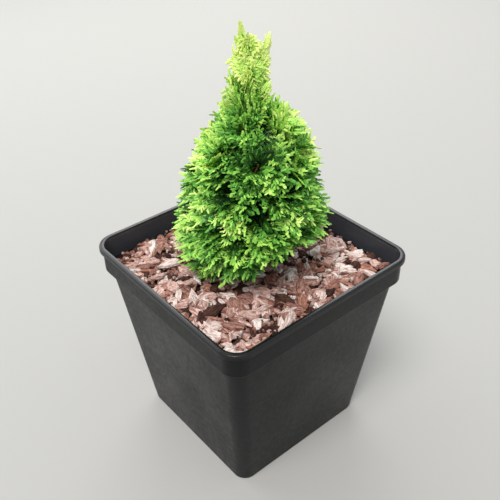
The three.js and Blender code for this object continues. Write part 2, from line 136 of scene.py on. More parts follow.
# Feet and middles are heights above the mulch. Out is a share of the crown's radius, a spray is a
# length, and a core has the half sizes of its mass outwards, around and up.
TIERS = (
    dict(name="skirt", count=6, foot=6, middle=19, out=0.62, turn=10,
         rise=6, spread=95, sprays=6, spray=24, core=(15, 19, 12), bough=True),
    dict(name="lower", count=6, foot=17, middle=47, out=0.6, turn=40,
         rise=12, spread=100, sprays=7, spray=23, core=(16, 18, 14), bough=True),
    dict(name="middle", count=5, foot=38, middle=75, out=0.57, turn=5,
         rise=22, spread=100, sprays=7, spray=23, core=(15, 20, 15), bough=True),
    dict(name="upper", count=5, foot=60, middle=102, out=0.54, turn=41,
         rise=34, spread=100, sprays=7, spray=22, core=(13, 16, 15), bough=True),
    dict(name="shoulder", count=3, foot=90, middle=125, out=0.46, turn=50,
         rise=46, spread=95, sprays=7, spray=22, core=(9, 12, 13), bough=True),
    dict(name="spire", count=3, foot=122, middle=144, out=0.46, turn=20,
         rise=60, spread=70, sprays=4, spray=21, core=(6, 8, 12), bough=False),
    dict(name="crest", count=2, foot=144, middle=164, out=0.34, turn=140,
         rise=70, spread=65, sprays=4, spray=20, core=(6, 12, 13), bough=False),
)
TIP = dict(name="tip", foot=TRUNK_TOP, middle=181, rise=86, spread=50, sprays=5, spray=20,
           core=None, bough=False)

# Finer than the solids: how many sprays stand for one of theirs, and how a spray branches
FINER = 3
SPIRE_FINER = 2.4
LAYERS = (0.95, 0.7, 0.9, 0.5)  # how deep sprays are rooted in turn, as shares of the core's reach
INTERLEAVE = 5.5  # how far sprays of neighbouring masses reach into each other, deep in the crown
VALLEY = 4.4  # how much less far they reach at its surface, so that the masses stand apart
VALLEY_START = 0.6  # as a share of the crown's radius
SPRAY_TOP = 186  # where the masses' sprays end below the upright sprigs
EDGE_ROOM = 2.5  # how far sprays end inside the crown's outline
FULL_ROOM = 11  # more of it on the full side, at this height and less away from it
FULL_MIDDLE = 82
FULL_REACH = 55
LOW_ROOM = 8  # more of it near the mulch, up to this height
LOW_REACH = 42
RAISED = 38  # how much higher the lowest sprays end on the thin side, this far out
RAISED_OUT = 45
RAISED_NARROW = 1.6
TRUNK_ROOM = 1  # how far sprays keep off the trunk, except near its top
TRUNK_END = 10
SPRAY_TWISTS = (20, 80)  # degrees either way, low in the crown and at its top
SPRAY_DROOPS = (0.45, 0.08)  # low in the crown and at its top
SPRAY_CUP = 0.12
SPRAY_BREADTH = 0.45  # half of a spray's width, as a share of its length
SPIRE_BREADTH = 0.34
RISES = (4, 78)  # degrees that sprays rise from level, low in the crown and at its top
SPRAY_TONES = 0.2  # how much sprays differ from each other in brightness
TONE_SIZE = 5  # of the places that are alike in it
PAINTED_LIGHT_PATCHES = (  # painted shade where it is darker and painted light where it is paler: x, y and height above the mulch, reach, how much
    (31, -25, 110, 36, -0.12),
    (42, -24, 72, 16, -0.07),
    (16, -40, 104, 18, -0.09),
    (10, -8, 134, 20, -0.18),
    (18, 22, 116, 20, 0.18),
    (28, 34, 92, 20, 0.12),
    (41, 35, 26, 22, 0.08),
    (-26, -47, 32, 22, 0.09),
    (-18, -22, 115, 22, 0.18),
)
SPREAD_SHARE = 0.5  # how far sprays fan out from the middle of their mass
SPREAD_START = 0.4  # how far from it the first one stands, in steps
FACE_UP = (1.0, 0.3)  # how much sprays face up, low in the crown and at its top
FACE_OUT = (0.3, 1.0)
SLIDES = (0, 4, 8, 12, 16)  # how far a spray's root may slide back for it to fit
SIDE_SHOOTS = 6  # side branchlets on each side of a spray
FORK_REACHES = (3.6, 6.6, 9.6)  # side branchlets longer than each of these have one more finger
FINGER_LENGTH = 5.2
FINGER_WIDTH = 2.15
FINGERS_SHORTER = (0.95, 0.7)  # at a branchlet's foot and at its end
FINGER_LENGTHS = (0.85, 1.12)  # from the shortest to the longest, as shares of those
FINGER_WIDTHS = (0.85, 1.05)
SHOOT_WIDTHS = ((0.0, 0.5), (0.48, 0.98), (0.86, 0.74))  # along a shoot one unit long and wide
SHOOT_RIDGE = 0.34
AXIS_WIDTHS = (1.4, 1.7)  # of a spray's axis, at its foot and its middle
SIDE_WIDTH = 1.5  # of side branchlets
SPRAY_NORM = 22  # the length of a spray that has these numbers and widths
AXIS_BEND = 0.09
AXIS_SHOOTS = ((0, 0.42, 0.0), (0.4, 0.76, 0.35), (0.72, 1, 1.0))  # from, to and rank
SIDES_FROM = 0.12  # where side branchlets start, as a share of a spray's length
SIDES_SPAN = 0.74
SIDES_SHIFT = 0.02
SIDE_TURN = 6
SIDE_RANKS = (0.2, 0.35)  # at the spray's foot, and how much more at its end
EDGE_RANK = 0.95
FORKS_APART = (0.8, 0.6)  # room before the first finger and behind the last, in their distances
FINGER_RANKS = (0.5, 0.3, 0.15)  # at the least, and more along the branchlet and along the spray
SIDE_ANGLES = (60, 24)  # from the axis at its foot, and how much less at its end
SIDE_ENDS = (0.62, 0.5)  # where a branchlet's first shoot ends and its last one starts
FORK_ANGLE = 46
FORK_SHIFT = 10
SHOOT_LIFT = 0.6  # how far shoots stray from the plane of their spray
SHOOT_TIPS = (0.3, 0.2)  # how far they tip across it and along it
RANK_TONE = 0.5  # how much brighter a spray's edge is than its foot
SHOOT_TONES = 0.06
TONE_PLACE = 0.7  # how far along a spray the crown's patches of painted light and shade act
DEPTH_TONE = 0.45  # how brightness grows with a spray's depth, its reach and its height: partly the young growth's own paler colour, partly painted light outside and high up and painted shade deep and low
OUT_TONE = 0.35
HIGH_TONE = 1.05
HIGH_START = 0.58  # where height starts to count, as a share of the plant's
PLAIN = 0.8  # the depth and reach that change nothing
OUT_MOST = 1.1
SPRAY_MIDDLE = 0.6  # where a spray is broadest
INNER_SPRAYS = 5  # along each mass's bough and stem
INNER_LENGTHS = (15, 21)
INNER_ALONG = 0.6  # how much they lean along the wood that they grow on
INNER_FACE = 0.5  # how much they face outwards
INNER_SHADE = 0.1
BETWEEN_SPRAYS = 64  # on twigs of their own from the trunk, between the masses
BETWEEN_HEIGHTS = (20, 122)
BETWEEN_ROOT = 0.3  # where they start, as a share of the crown's radius
BETWEEN_LENGTH = 0.46
BETWEEN_RISE = 0.8  # how much they rise, as a share of the masses' sprays
BETWEEN_TWIST = 50
LEADER_SPRAYS = 36  # along the trunk
LEADER_HEIGHTS = (22, 156)
LEADER_ROOT = 0.8  # of the trunk's radius
LEADER_LENGTHS = (15, 20)
LEADER_LONGER = 1.3  # how much longer the lowest are
LEADER_RISES = (22, 76)
LEADER_TWIST = 40
OPEN_DEPTH = 0.5  # how deep the last two kinds count as being, for their brightness
SPRIGS = (  # upright shoots at the top: side, lean, foot above the mulch and length
    (230, 9, 160, 38),
    (50, 21, 153, 37),
    (140, 16, 146, 30),
    (320, 15, 140, 30),
    (20, 26, 128, 30),
    (215, 24, 130, 30),
)
SPRIG_SPRAYS = 9  # on each
SPRIG_SPAN = (0.1, 0.72)  # where they stand, as shares of the sprig's length
SPRIG_ASIDE = 0.55  # how far they lean to their side, less towards the top
SPRIG_TWIST = 30
SPRIG_LENGTHS = (11, 14)
SPRIG_SHORTER = 0.2
SPRIG_BREADTHS = (0.3, 0.2)
SPRIG_DEPTH = 0.9  # how deep they count as being
SPRIG_TONE_AT = 8  # how far along a spray its brightness is taken
SPRIG_STEM = ((0, 0.7), (0.4, 0.45), (0.75, 0.25))  # along its length, and how thick
TWIG_FEET = (0.15, 0.7)  # the part of a mass's stem that its twigs start from: its start and span
TWIG_RADII = (0.6, 0.52, 0.46, 0.3)
TWIG_BEND = 1.5
TWIG_END = 0.3  # how far a twig goes on into its spray
BETWEEN_RADII = (0.7, 0.6, 0.5, 0.3)
BETWEEN_DROP = 4  # how much lower than its root a spray's twig leaves the trunk

UP = Vector((0, 0, 1))


def dice(seed):
    """The same run of numbers for the same seed."""
    state = seed

    def roll(low=0.0, high=1.0):
        nonlocal state
        state = (state * 1664525 + 1013904223) & 0xFFFFFFFF
        return low + (high - low) * state / 4294967296

    return roll


def mix(a, b, share):
    return a + (b - a) * share


def level_way(angle):
    """The level way on the side that an angle names."""
    return Vector((math.cos(angle), math.sin(angle), 0))


def raised_way(out, rise):
    """A level way turned up by a rise."""
    return out * math.cos(rise) + UP * math.sin(rise)


def twisted(face, way, most, roll):
    """A facing turned about the way of its spray, by up to so many degrees."""
    return Matrix.Rotation(math.radians(roll(-most, most)), 3, way) @ face


def curved(start, bend, end, t):
    """A point on the curve from start to end that leans towards bend."""
    return start * (1 - t) ** 2 + bend * 2 * t * (1 - t) + end * t * t


# Meshes and pieces

def new_object(name, data):
    made = bpy.data.objects.new(name, data)
    bpy.context.scene.collection.objects.link(made)
    return made


def new_piece(name, mesh, material=None):
    piece = new_object(name, mesh)
    if material:
        mesh.materials.append(material)
    return piece


def mesh_of(name, points, faces, unit=MM):
    """A mesh from points in millimetres, or in another unit."""
    mesh = bpy.data.meshes.new(name)
    mesh.from_pydata([tuple(c * unit for c in point) for point in points], [], faces)
    mesh.validate()
    return mesh


def smooth(mesh, sharp_over):
    mesh.shade_smooth()
    mesh.set_sharp_from_angle(angle=math.radians(sharp_over))


def smooth_piece(name, points, faces, material, sharp_over):
    piece = new_piece(name, mesh_of(name, points, faces), material)
    smooth(piece.data, sharp_over)
    return piece


def loft(rings):
    """Points and faces through rings of the same size, closed at both ends."""
    size = len(rings[0])
    faces = []
    for i in range(len(rings) - 1):
        for j in range(size):
            a, b = i * size + j, i * size + (j + 1) % size
            faces.append((a, b, b + size, a + size))
    last = (len(rings) - 1) * size
    faces.append(tuple(reversed(range(size))))
    faces.append(tuple(last + j for j in range(size)))
    return [point for ring in rings for point in ring], faces


def joined(lofts):
    """The points and faces of several closed lofts, in one list of each."""
    points, faces = [], []
    for more, sides in lofts:
        faces += [tuple(len(points) + i for i in side) for side in sides]
        points += more
    return points, faces


def settled(maker):
    """Turns what a maker's modifiers show into its own plain mesh."""
    shown = maker.evaluated_get(bpy.context.evaluated_depsgraph_get())
    mesh = bpy.data.meshes.new_from_object(shown)
    maker.modifiers.clear()
    maker.data = mesh
    mesh.name = maker.name
    return maker


# Node trees

def add_node(tree, kind, values=None, **settings):
    """A node with values set on its inputs, by their names or numbers."""
    node = tree.nodes.new(kind)
    for name, value in settings.items():
        setattr(node, name, value)
    for name, value in (values or {}).items():
        node.inputs[name].default_value = value
    return node


def wire(tree, *links):
    """Links sockets. A link is a node, its output, the next node and its input."""
    for node, output, following, entry in links:
        tree.links.new(node.outputs[output], following.inputs[entry])


def new_tree(name, kind, inputs, outputs):
    """A node tree with named inputs and outputs: (tree, its inputs' node, its outputs' node). A
    socket is given by its name, its kind and, if need be, its default."""
    tree = bpy.data.node_groups.new(name, kind)
    for direction, sockets in (("INPUT", inputs), ("OUTPUT", outputs)):
        for label, socket, *default in sockets:
            made = tree.interface.new_socket(
                name=label, in_out=direction, socket_type=f"NodeSocket{socket}"
            )
            if default:
                made.default_value = default[0]
    return tree, tree.nodes.new("NodeGroupInput"), tree.nodes.new("NodeGroupOutput")


def set_inputs(modifier, **values):
    """Sets a Geometry Nodes modifier's inputs by identifier, looked up from their names."""
    for item in modifier.node_group.interface.items_tree:
        if item.item_type == "SOCKET" and item.in_out == "INPUT" and item.name in values:
            modifier[item.identifier] = values[item.name]


def stored(tree, name, kind="FLOAT_VECTOR"):
    """A node that reads a value stored on the points."""
    return add_node(tree, "GeometryNodeInputNamedAttribute", {"Name": name}, data_type=kind)


def close_tree(tree, shown, given, made):
    """The end of each tree: plain meshes with their finish."""
    realize = tree.nodes.new("GeometryNodeRealizeInstances")
    finish = tree.nodes.new("GeometryNodeSetMaterial")
    wire(
        tree,
        (shown, 0, realize, 0),
        (realize, 0, finish, "Geometry"),
        (given, "Finish", finish, "Material"),
        (finish, 0, made, "Mesh"),
    )
    return tree


def shapes_tree():
    """Shapes set on points: each lies along its own way, faces its own way and has its own size."""
    tree, given, made = new_tree(
        "Shapes on points", "GeometryNodeTree",
        [("Points", "Geometry"), ("Shapes", "Collection"), ("Finish", "Material"),
         ("Tilt", "Float", 0.0), ("Kinds", "Int", 1), ("Seed", "Int", 0)],
        [("Mesh", "Geometry")],
    )
    along, face, size = (stored(tree, name) for name in ("along", "facing", "size"))
    turn = add_node(tree, "FunctionNodeAxesToRotation", primary_axis="X", secondary_axis="Z")
    apart = {"Separate Children": True, "Reset Children": True}
    shapes = add_node(tree, "GeometryNodeCollectionInfo", apart)
    kind = add_node(tree, "FunctionNodeRandomValue", data_type="INT")
    last_kind = add_node(tree, "ShaderNodeMath", {1: 1}, operation="SUBTRACT")
    place = add_node(tree, "GeometryNodeInstanceOnPoints", {"Pick Instance": True})
    lean = add_node(tree, "FunctionNodeRandomValue", data_type="FLOAT_VECTOR")
    least = add_node(tree, "ShaderNodeMath", {1: -1}, operation="MULTIPLY")
    rotate = tree.nodes.new("GeometryNodeRotateInstances")
    wire(
        tree,
        (along, "Attribute", turn, "Primary Axis"),
        (face, "Attribute", turn, "Secondary Axis"),
        (given, "Shapes", shapes, "Collection"),
        (given, "Kinds", last_kind, 0),
        (last_kind, 0, kind, 5),
        (given, "Seed", kind, "Seed"),
        (given, "Points", place, "Points"),
        (shapes, 0, place, "Instance"),
        (kind, 2, place, "Instance Index"),
        (turn, 0, place, "Rotation"),
        (size, "Attribute", place, "Scale"),
        (given, "Tilt", least, 0),
        (least, 0, lean, 0),
        (given, "Tilt", lean, 1),
        (given, "Seed", lean, "Seed"),
        (place, 0, rotate, "Instances"),
        (lean, 0, rotate, "Rotation"),
    )
    return close_tree(tree, rotate, given, made)


def limbs_tree():
    """Round limbs along a mesh's edges, as thick as each point says."""
    tree, given, made = new_tree(
        "Limbs along edges", "GeometryNodeTree",
        [("Edges", "Geometry"), ("Finish", "Material"), ("Sides", "Int", 4)],
        [("Mesh", "Geometry")],
    )
    curves = tree.nodes.new("GeometryNodeMeshToCurve")
    thick = stored(tree, "thickness", "FLOAT")
    section = add_node(tree, "GeometryNodeCurvePrimitiveCircle", {"Radius": 1})
    tube = add_node(tree, "GeometryNodeCurveToMesh", {"Fill Caps": True})
    wire(
        tree,
        (given, "Edges", curves, "Mesh"),
        (given, "Sides", section, "Resolution"),
        (curves, 0, tube, "Curve"),
        (section, 0, tube, "Profile Curve"),
        (thick, "Attribute", tube, "Scale"),
    )
    return close_tree(tree, tube, given, made)


SHAPES_TREE = shapes_tree()
LIMBS_TREE = limbs_tree()


def grown(name, mesh, tree, **inputs):
    """The piece that a tree makes of a mesh."""
    piece = new_piece(name, mesh)
    modifier = piece.modifiers.new(name, "NODES")
    modifier.node_group = tree
    set_inputs(modifier, **inputs)
    return settled(piece)


def strew(name, shapes, spots, material, tilt=0.0, seed=0):
    """One piece of many copies of the shapes. A spot is its place, its way, its facing and its size."""
    mesh = bpy.data.meshes.new(name)
    rows = np.array(spots, float)
    mesh.vertices.add(len(rows))
    mesh.vertices.foreach_set("co", (rows[:, 0] * MM).astype(np.float32).ravel())
    for column, attribute in ((1, "along"), (2, "facing"), (3, "size")):
        values = rows[:, column] * (MM if attribute == "size" else 1)
        made = mesh.attributes.new(attribute, "FLOAT_VECTOR", "POINT")
        made.data.foreach_set("vector", values.astype(np.float32).ravel())
    return grown(name, mesh, SHAPES_TREE, Shapes=shapes, Finish=material, Tilt=tilt,
                 Kinds=len(shapes.objects), Seed=seed)


def grown_limbs(name, paths, material, sides):
    """One piece of round limbs. A path is a list of points and a list of radii."""
    mesh = bpy.data.meshes.new(name)
    points = [point * MM for path, _ in paths for point in path]
    radii = [radius * MM for _, path in paths for radius in path]
    edges, first = [], 0
    for path, _ in paths:
        edges += [(first + i, first + i + 1) for i in range(len(path) - 1)]
        first += len(path)
    mesh.from_pydata(points, edges, [])
    mesh.attributes.new("thickness", "FLOAT", "POINT").data.foreach_set("value", radii)
    return grown(name, mesh, LIMBS_TREE, Finish=material, Sides=sides)


# Finishes

MOTTLE_LEVELS = (0.75, 1.25)  # the sum of both scales, from all of one colour to all of the other
BUMP_HEIGHT = 0.6 * MM
STREAK_LEVELS = (-0.2, 0.2)  # heights of the relief between which streaks fade out
STREAK_SHADE = 0.52  # how dark streaks are, as a share of a chip's darker colour
PLASTIC_COLOURS = ((11, 12, 13), (20, 21, 23))
PLASTIC_DULL = (0.33, 0.46)  # roughness, where the scuffs are few and many
LIP_SMOOTHER = 0.5  # the lip's roughness, as a share of the walls'
LIP_COAT = 0.6
# The grey-blue of the inner walls: partly dust, partly a painted reflection of the pale sky.
DUST_AND_SKY_SHEEN = (66, 68, 75)
DUST_AND_SHEEN_SHARE = 0.8  # how much of the dust and painted sky reflection covers the inside of the pot
TURNED_IN = (-0.03, -0.08)  # how far a face looks to the middle, from the first dust and painted reflection to the most
SOIL_COLOURS = ((26, 17, 13), (52, 35, 27))
WOOD_COLOURS = ((92, 58, 40), (150, 104, 76))
TWIG_COLOURS = ((86, 70, 36), (128, 104, 58))
LEAF_TINTS = (  # the share of the shoots, from the dullest to the brightest, and two colours
    ("inner", 0.215, (10, 36, 8), (22, 54, 14)),
    ("deep", 0.21, (34, 80, 20), (54, 108, 32)),
    ("mid", 0.185, (82, 148, 50), (106, 172, 66)),
    ("fresh", 0.15, (124, 188, 72), (146, 208, 90)),
    ("light", 0.12, (157, 212, 84), (177, 226, 102)),
    ("lime", 0.075, (190, 233, 110), (210, 243, 132)),
    ("gold", 0.045, (216, 240, 128), (236, 249, 154)),
)
BARK_TINTS = (  # how often chips have them at the bottom and at the top, and two colours; the darker tints low in the pile are painted shade in its gaps
    ("tan", 5, 10, (190, 146, 134), (236, 204, 194)),
    ("brown", 8, 6, (134, 88, 76), (190, 143, 129)),
    ("dark", 9, 1.5, (52, 28, 21), (100, 62, 50)),
    ("rust", 3, 1.2, (152, 98, 80), (194, 140, 120)),
    ("grey", 1, 4.5, (216, 190, 182), (246, 228, 221)),
    ("pale", 0.5, 3.5, (238, 218, 209), (253, 244, 238)),
)


def ranged(tree, given, made):
    """A node that brings values from one range to another."""
    ends = zip(("From Min", "From Max", "To Min", "To Max"), (*given, *made))
    return add_node(tree, "ShaderNodeMapRange", dict(ends))


def mottle_group():
    """Two colours that drift into each other over the surface, at two scales."""
    tree, given, made = new_tree(
        "Mottle", "ShaderNodeTree",
        [("Colour A", "Color"), ("Colour B", "Color"), ("Patch Scale", "Float", 60.0),
         ("Fine Scale", "Float", 600.0)],
        [("Colour", "Color"), ("Mask", "Float")],
    )
    place = tree.nodes.new("ShaderNodeTexCoord")
    patch = add_node(tree, "ShaderNodeTexNoise", {"Detail": 3})
    fine = add_node(tree, "ShaderNodeTexNoise", {"Detail": 2})
    both = add_node(tree, "ShaderNodeMath", operation="ADD")
    spread = ranged(tree, MOTTLE_LEVELS, (0, 1))
    blend = add_node(tree, "ShaderNodeMix", data_type="RGBA")
    wire(
        tree,
        (place, "Object", patch, "Vector"),
        (place, "Object", fine, "Vector"),
        (given, "Patch Scale", patch, "Scale"),
        (given, "Fine Scale", fine, "Scale"),
        (patch, "Fac", both, 0),
        (fine, "Fac", both, 1),
        (both, 0, spread, "Value"),
        (spread, "Result", blend, "Factor"),
        (given, "Colour A", blend, 6),
        (given, "Colour B", blend, 7),
        (blend, 2, made, "Colour"),
        (spread, "Result", made, "Mask"),
    )
    return tree


def relief_group():
    """Small relief of rounded cells or fibres, as a normal."""
    tree, given, made = new_tree(
        "Fine relief", "ShaderNodeTree",
        [("Place", "Vector"), ("Scale", "Float", 500.0), ("Depth", "Float", 0.4),
         ("Fibre", "Float", 1.0)],
        [("Normal", "Vector"), ("Height", "Float")],
    )
    squeeze = add_node(tree, "ShaderNodeCombineXYZ", {"X": 1, "Y": 1})
    stretch = add_node(tree, "ShaderNodeVectorMath", operation="MULTIPLY")
    cells = add_node(tree, "ShaderNodeTexVoronoi", feature="SMOOTH_F1")
    rough = add_node(tree, "ShaderNodeTexNoise", {"Detail": 4})
    height = add_node(tree, "ShaderNodeMath", operation="SUBTRACT")
    bump = add_node(tree, "ShaderNodeBump", {"Distance": BUMP_HEIGHT})
    wire(
        tree,
        (given, "Fibre", squeeze, "Z"),
        (given, "Place", stretch, 0),
        (squeeze, 0, stretch, 1),
        (stretch, 0, cells, "Vector"),
        (stretch, 0, rough, "Vector"),
        (given, "Scale", cells, "Scale"),
        (given, "Scale", rough, "Scale"),
        (rough, "Fac", height, 0),
        (cells, "Distance", height, 1),
        (height, 0, bump, "Height"),
        (given, "Depth", bump, "Strength"),
        (bump, "Normal", made, "Normal"),
        (height, 0, made, "Height"),
    )
    return tree


def streaks_group():
    """A second colour in the low places of a relief."""
    tree, given, made = new_tree(
        "Streaks", "ShaderNodeTree",
        [("Colour", "Color"), ("Streak", "Color"), ("Height", "Float", 0.0)],
        [("Colour", "Color")],
    )
    low = ranged(tree, STREAK_LEVELS, (0, 1))
    blend = add_node(tree, "ShaderNodeMix", data_type="RGBA")
    wire(
        tree,
        (given, "Height", low, "Value"),
        (low, "Result", blend, "Factor"),
        (given, "Streak", blend, 6),
        (given, "Colour", blend, 7),
        (blend, 2, made, "Colour"),
    )
    return tree


MOTTLE = mottle_group()
RELIEF = relief_group()
STREAKS = streaks_group()


def colour(red, green, blue):
    """A colour from its values on a screen, 0 to 255."""
    return tuple(
        c / 12.92 if c <= 0.04045 else ((c + 0.055) / 1.055) ** 2.4
        for c in (red / 255, green / 255, blue / 255)
    ) + (1.0,)


def new_finish(name, roughness, specular=0.5):
    """A material with a Principled shader: (material, its tree, the shader)."""
    material = bpy.data.materials.new(name)
    material.use_nodes = True
    shader = material.node_tree.nodes["Principled BSDF"]
    shader.inputs["Roughness"].default_value = roughness
    shader.inputs["Specular IOR Level"].default_value = specular
    return material, material.node_tree, shader


def use_group(tree, group, **values):
    values = {name.replace("_", " "): value for name, value in values.items()}
    return add_node(tree, "ShaderNodeGroup", values, node_tree=group)


def natural_finish(name, tones, roughness, patch, fine, relief, depth, fibre=1, grain=None):
    """Mottled colour and fine relief, for leaves, wood, bark and soil, with darker streaks along
    a grain."""
    material, tree, shader = new_finish(name, roughness, specular=0.35)
    dark, light = (colour(*tone) for tone in tones)
    colours = use_group(tree, MOTTLE, Colour_A=dark, Colour_B=light, Patch_Scale=patch, Fine_Scale=fine)
    bumps = use_group(tree, RELIEF, Scale=relief, Depth=depth, Fibre=fibre)
    if grain:
        place, spot = add_node(tree, "ShaderNodeUVMap", uv_map=grain), "UV"
        plain = colours
        colours = use_group(tree, STREAKS, Streak=(*(part * STREAK_SHADE for part in dark[:3]), 1))
        wire(tree, (plain, "Colour", colours, "Colour"), (bumps, "Height", colours, "Height"))
    else:
        place, spot = tree.nodes.new("ShaderNodeTexCoord"), "Object"
    wire(
        tree,
        (place, spot, bumps, "Place"),
        (colours, "Colour", shader, "Base Color"),
        (bumps, "Normal", shader, "Normal"),
    )
    return material


def leaf_finish(name, tones):
    return natural_finish(name, tones, roughness=0.5, patch=45, fine=420, relief=950, depth=0.35)


def bark_finish(name, tones, roughness=0.85):
    return natural_finish(name, tones, roughness, patch=70, fine=900, relief=1400, depth=0.6,
                          fibre=0.25)


def chip_finish(name, tones):
    return natural_finish(name, tones, roughness=0.9, patch=55, fine=520, relief=7, depth=0.9,
                          grain="grain")


def soil_finish():
    return natural_finish("soil_earth", SOIL_COLOURS, roughness=0.95, patch=60, fine=500, relief=600,
                          depth=0.9)


def plastic_finish():
    """Black moulded plastic with faint scuffs, grey-blue on the inside, partly dust and partly a
    painted reflection of the sky, and smoother on its lip.
    """
    material, tree, shader = new_finish("pot_plastic", roughness=0.42, specular=0.18)
    shader.inputs["Coat Roughness"].default_value = 0.28
    dark, light = (colour(*tone) for tone in PLASTIC_COLOURS)
    film = use_group(tree, MOTTLE, Colour_A=dark, Colour_B=light, Patch_Scale=22, Fine_Scale=260)
    place = tree.nodes.new("ShaderNodeTexCoord")
    grain = use_group(tree, RELIEF, Scale=700, Depth=0.08, Fibre=1)
    surface = tree.nodes.new("ShaderNodeNewGeometry")
    outward = add_node(tree, "ShaderNodeVectorMath", operation="DOT_PRODUCT")
    inside = ranged(tree, TURNED_IN, (0, DUST_AND_SHEEN_SHARE))
    dust_and_sheen = add_node(tree, "ShaderNodeMix", data_type="RGBA")
    # partly dust, partly a painted reflection of the sky on the inner walls
    dust_and_sheen.inputs[7].default_value = colour(*DUST_AND_SKY_SHEEN)
    split = tree.nodes.new("ShaderNodeSeparateXYZ")
    dull = ranged(tree, (0, 1), PLASTIC_DULL)
    lip_dull = ranged(tree, LIP_SPAN, (1, LIP_SMOOTHER))
    lip_coat = ranged(tree, LIP_SPAN, (0, LIP_COAT))
    roughness = add_node(tree, "ShaderNodeMath", operation="MULTIPLY")
    wire(
        tree,
        (place, "Object", grain, "Place"),
        (surface, "Normal", outward, 0),
        (place, "Object", outward, 1),
        (outward, "Value", inside, "Value"),
        (inside, "Result", dust_and_sheen, "Factor"),
        (film, "Colour", dust_and_sheen, 6),
        (place, "Object", split, 0),
        (split, "Z", lip_dull, "Value"),
        (split, "Z", lip_coat, "Value"),
        (film, "Mask", dull, "Value"),
        (dull, "Result", roughness, 0),
        (lip_dull, "Result", roughness, 1),
        (dust_and_sheen, 2, shader, "Base Color"),
        (roughness, 0, shader, "Roughness"),
        (lip_coat, "Result", shader, "Coat Weight"),
        (grain, "Normal", shader, "Normal"),
    )
    return material


# Pot

CORNERS = ((1, 1), (-1, 1), (-1, -1), (1, -1))


def rounded_square(half, corner, z, corner_steps=10, side_steps=1):
    """A square with round corners, as a ring of points."""
    ring = []
    for quarter in range(4):
        (sx, sy), (tx, ty) = CORNERS[quarter], CORNERS[(quarter + 1) % 4]
        middle = Vector((sx * (half - corner), sy * (half - corner), z))
        for step in range(corner_steps + 1):
            ring.append(middle + level_way((quarter + step / corner_steps) * math.pi / 2) * corner)
        start = ring[-1]
        end = Vector((tx * (half - corner), ty * (half - corner), z))
        end += level_way((quarter + 1) * math.pi / 2) * corner
        ring += [start.lerp(end, step / side_steps) for step in range(1, side_steps)]
    return ring


def filleted(profile):
    """The (half width, height) points of a profile whose corners are rounded by their radii."""
    rounded = [profile[0][:2]]
    for before, at, after in zip(profile, profile[1:], profile[2:]):
        here = Vector(at[:2])
        back, on = Vector(before[:2]) - here, Vector(after[:2]) - here
        reach = min(at[2], back.length / 2.1, on.length / 2.1)
        start, end = here + back.normalized() * reach, here + on.normalized() * reach
        rounded += [tuple(curved(start, here, end, step / 4)) for step in range(5)]
    return [*rounded, profile[-1][:2]]


def corner_centre(z):
    """How far out the pot's round corners are centred at height z."""
    if z <= COLLAR_FOOT:
        return mix(BASE_CENTRE, BODY_TOP_CENTRE, z / COLLAR_FOOT)
    return mix(BODY_TOP_CENTRE, COLLAR_CENTRE, min(1, (z - COLLAR_FOOT) / LEDGE_RISE))


def body_half(z):
    return mix(BASE_SIDE / 2, BODY_TOP_HALF, z / COLLAR_FOOT)


def drill(x, y):
    """A round drill through the floor, with its middle at x and y."""
    turns = [2 * math.pi * i / DRAIN_SIDES for i in range(DRAIN_SIDES)]
    ring = [(x + DRAIN_RADIUS * math.cos(a), y + DRAIN_RADIUS * math.sin(a)) for a in turns]
    return loft([[Vector((*spot, z)) for spot in ring] for z in (-2 * FLOOR, 2 * FLOOR)])


def drain_holes():
    """One mesh of the drills that cut the holes in the pot's floor."""
    rows = (-DRAIN_OUT, 0, DRAIN_OUT)
    return mesh_of("drills", *joined(drill(x, y) for x in rows for y in rows if x or y))


def make_pot(material):
    half, inner = BASE_SIDE / 2, COLLAR_HALF - WALL
    lip_foot = POT_HEIGHT - LIP_HEIGHT
    profile = [  # half width, height and the radius of the corner there
        (half - 3, 0, 0),
        (half - 0.2, 0, 1.6),
        (BODY_TOP_HALF, COLLAR_FOOT, 1.0),
        (COLLAR_HALF, COLLAR_FOOT + LEDGE_RISE, 1.0),
        (COLLAR_HALF, lip_foot, 0.6),
        (RIM_SIDE / 2, lip_foot + 0.4, 0.9),
        (RIM_SIDE / 2, POT_HEIGHT, 1.9),
        (inner, POT_HEIGHT, 1.2),
        (inner, COLLAR_FOOT + LEDGE_RISE + WALL, 0.8),
        (BODY_TOP_HALF - WALL, COLLAR_FOOT, 0.8),
        (half - WALL, FLOOR, 2.4),
        (half - WALL - 4, FLOOR, 0),
    ]
    rings = [rounded_square(wide, wide - corner_centre(z), z) for wide, z in filleted(profile)]
    pot = new_piece("pot_shell", mesh_of("pot_shell", *loft(rings)), material)
    drills = new_piece("drills", drain_holes())
    cut = pot.modifiers.new("Holes", "BOOLEAN")
    cut.object = drills
    cut.solver = "EXACT"
    cut.operation = "DIFFERENCE"
    settled(pot)
    bpy.data.objects.remove(drills)
    smooth(pot.data, sharp_over=28)
    return pot


# Soil and bark mulch

SOIL_DROP = 3.5  # below the mulch's level
SOIL_ROUGH = 1.6
SOIL_LUMP = 9
SOIL_RINGS = 26
SOIL_STEPS = (6, 16)  # round a corner of the pot and along a side
MULCH_SEED = 20
FOOT_ROOM = 5  # left free round the trunk
MULCH_HALF = COLLAR_HALF - WALL - 0.4
MULCH_CORNER = MULCH_HALF - COLLAR_CENTRE
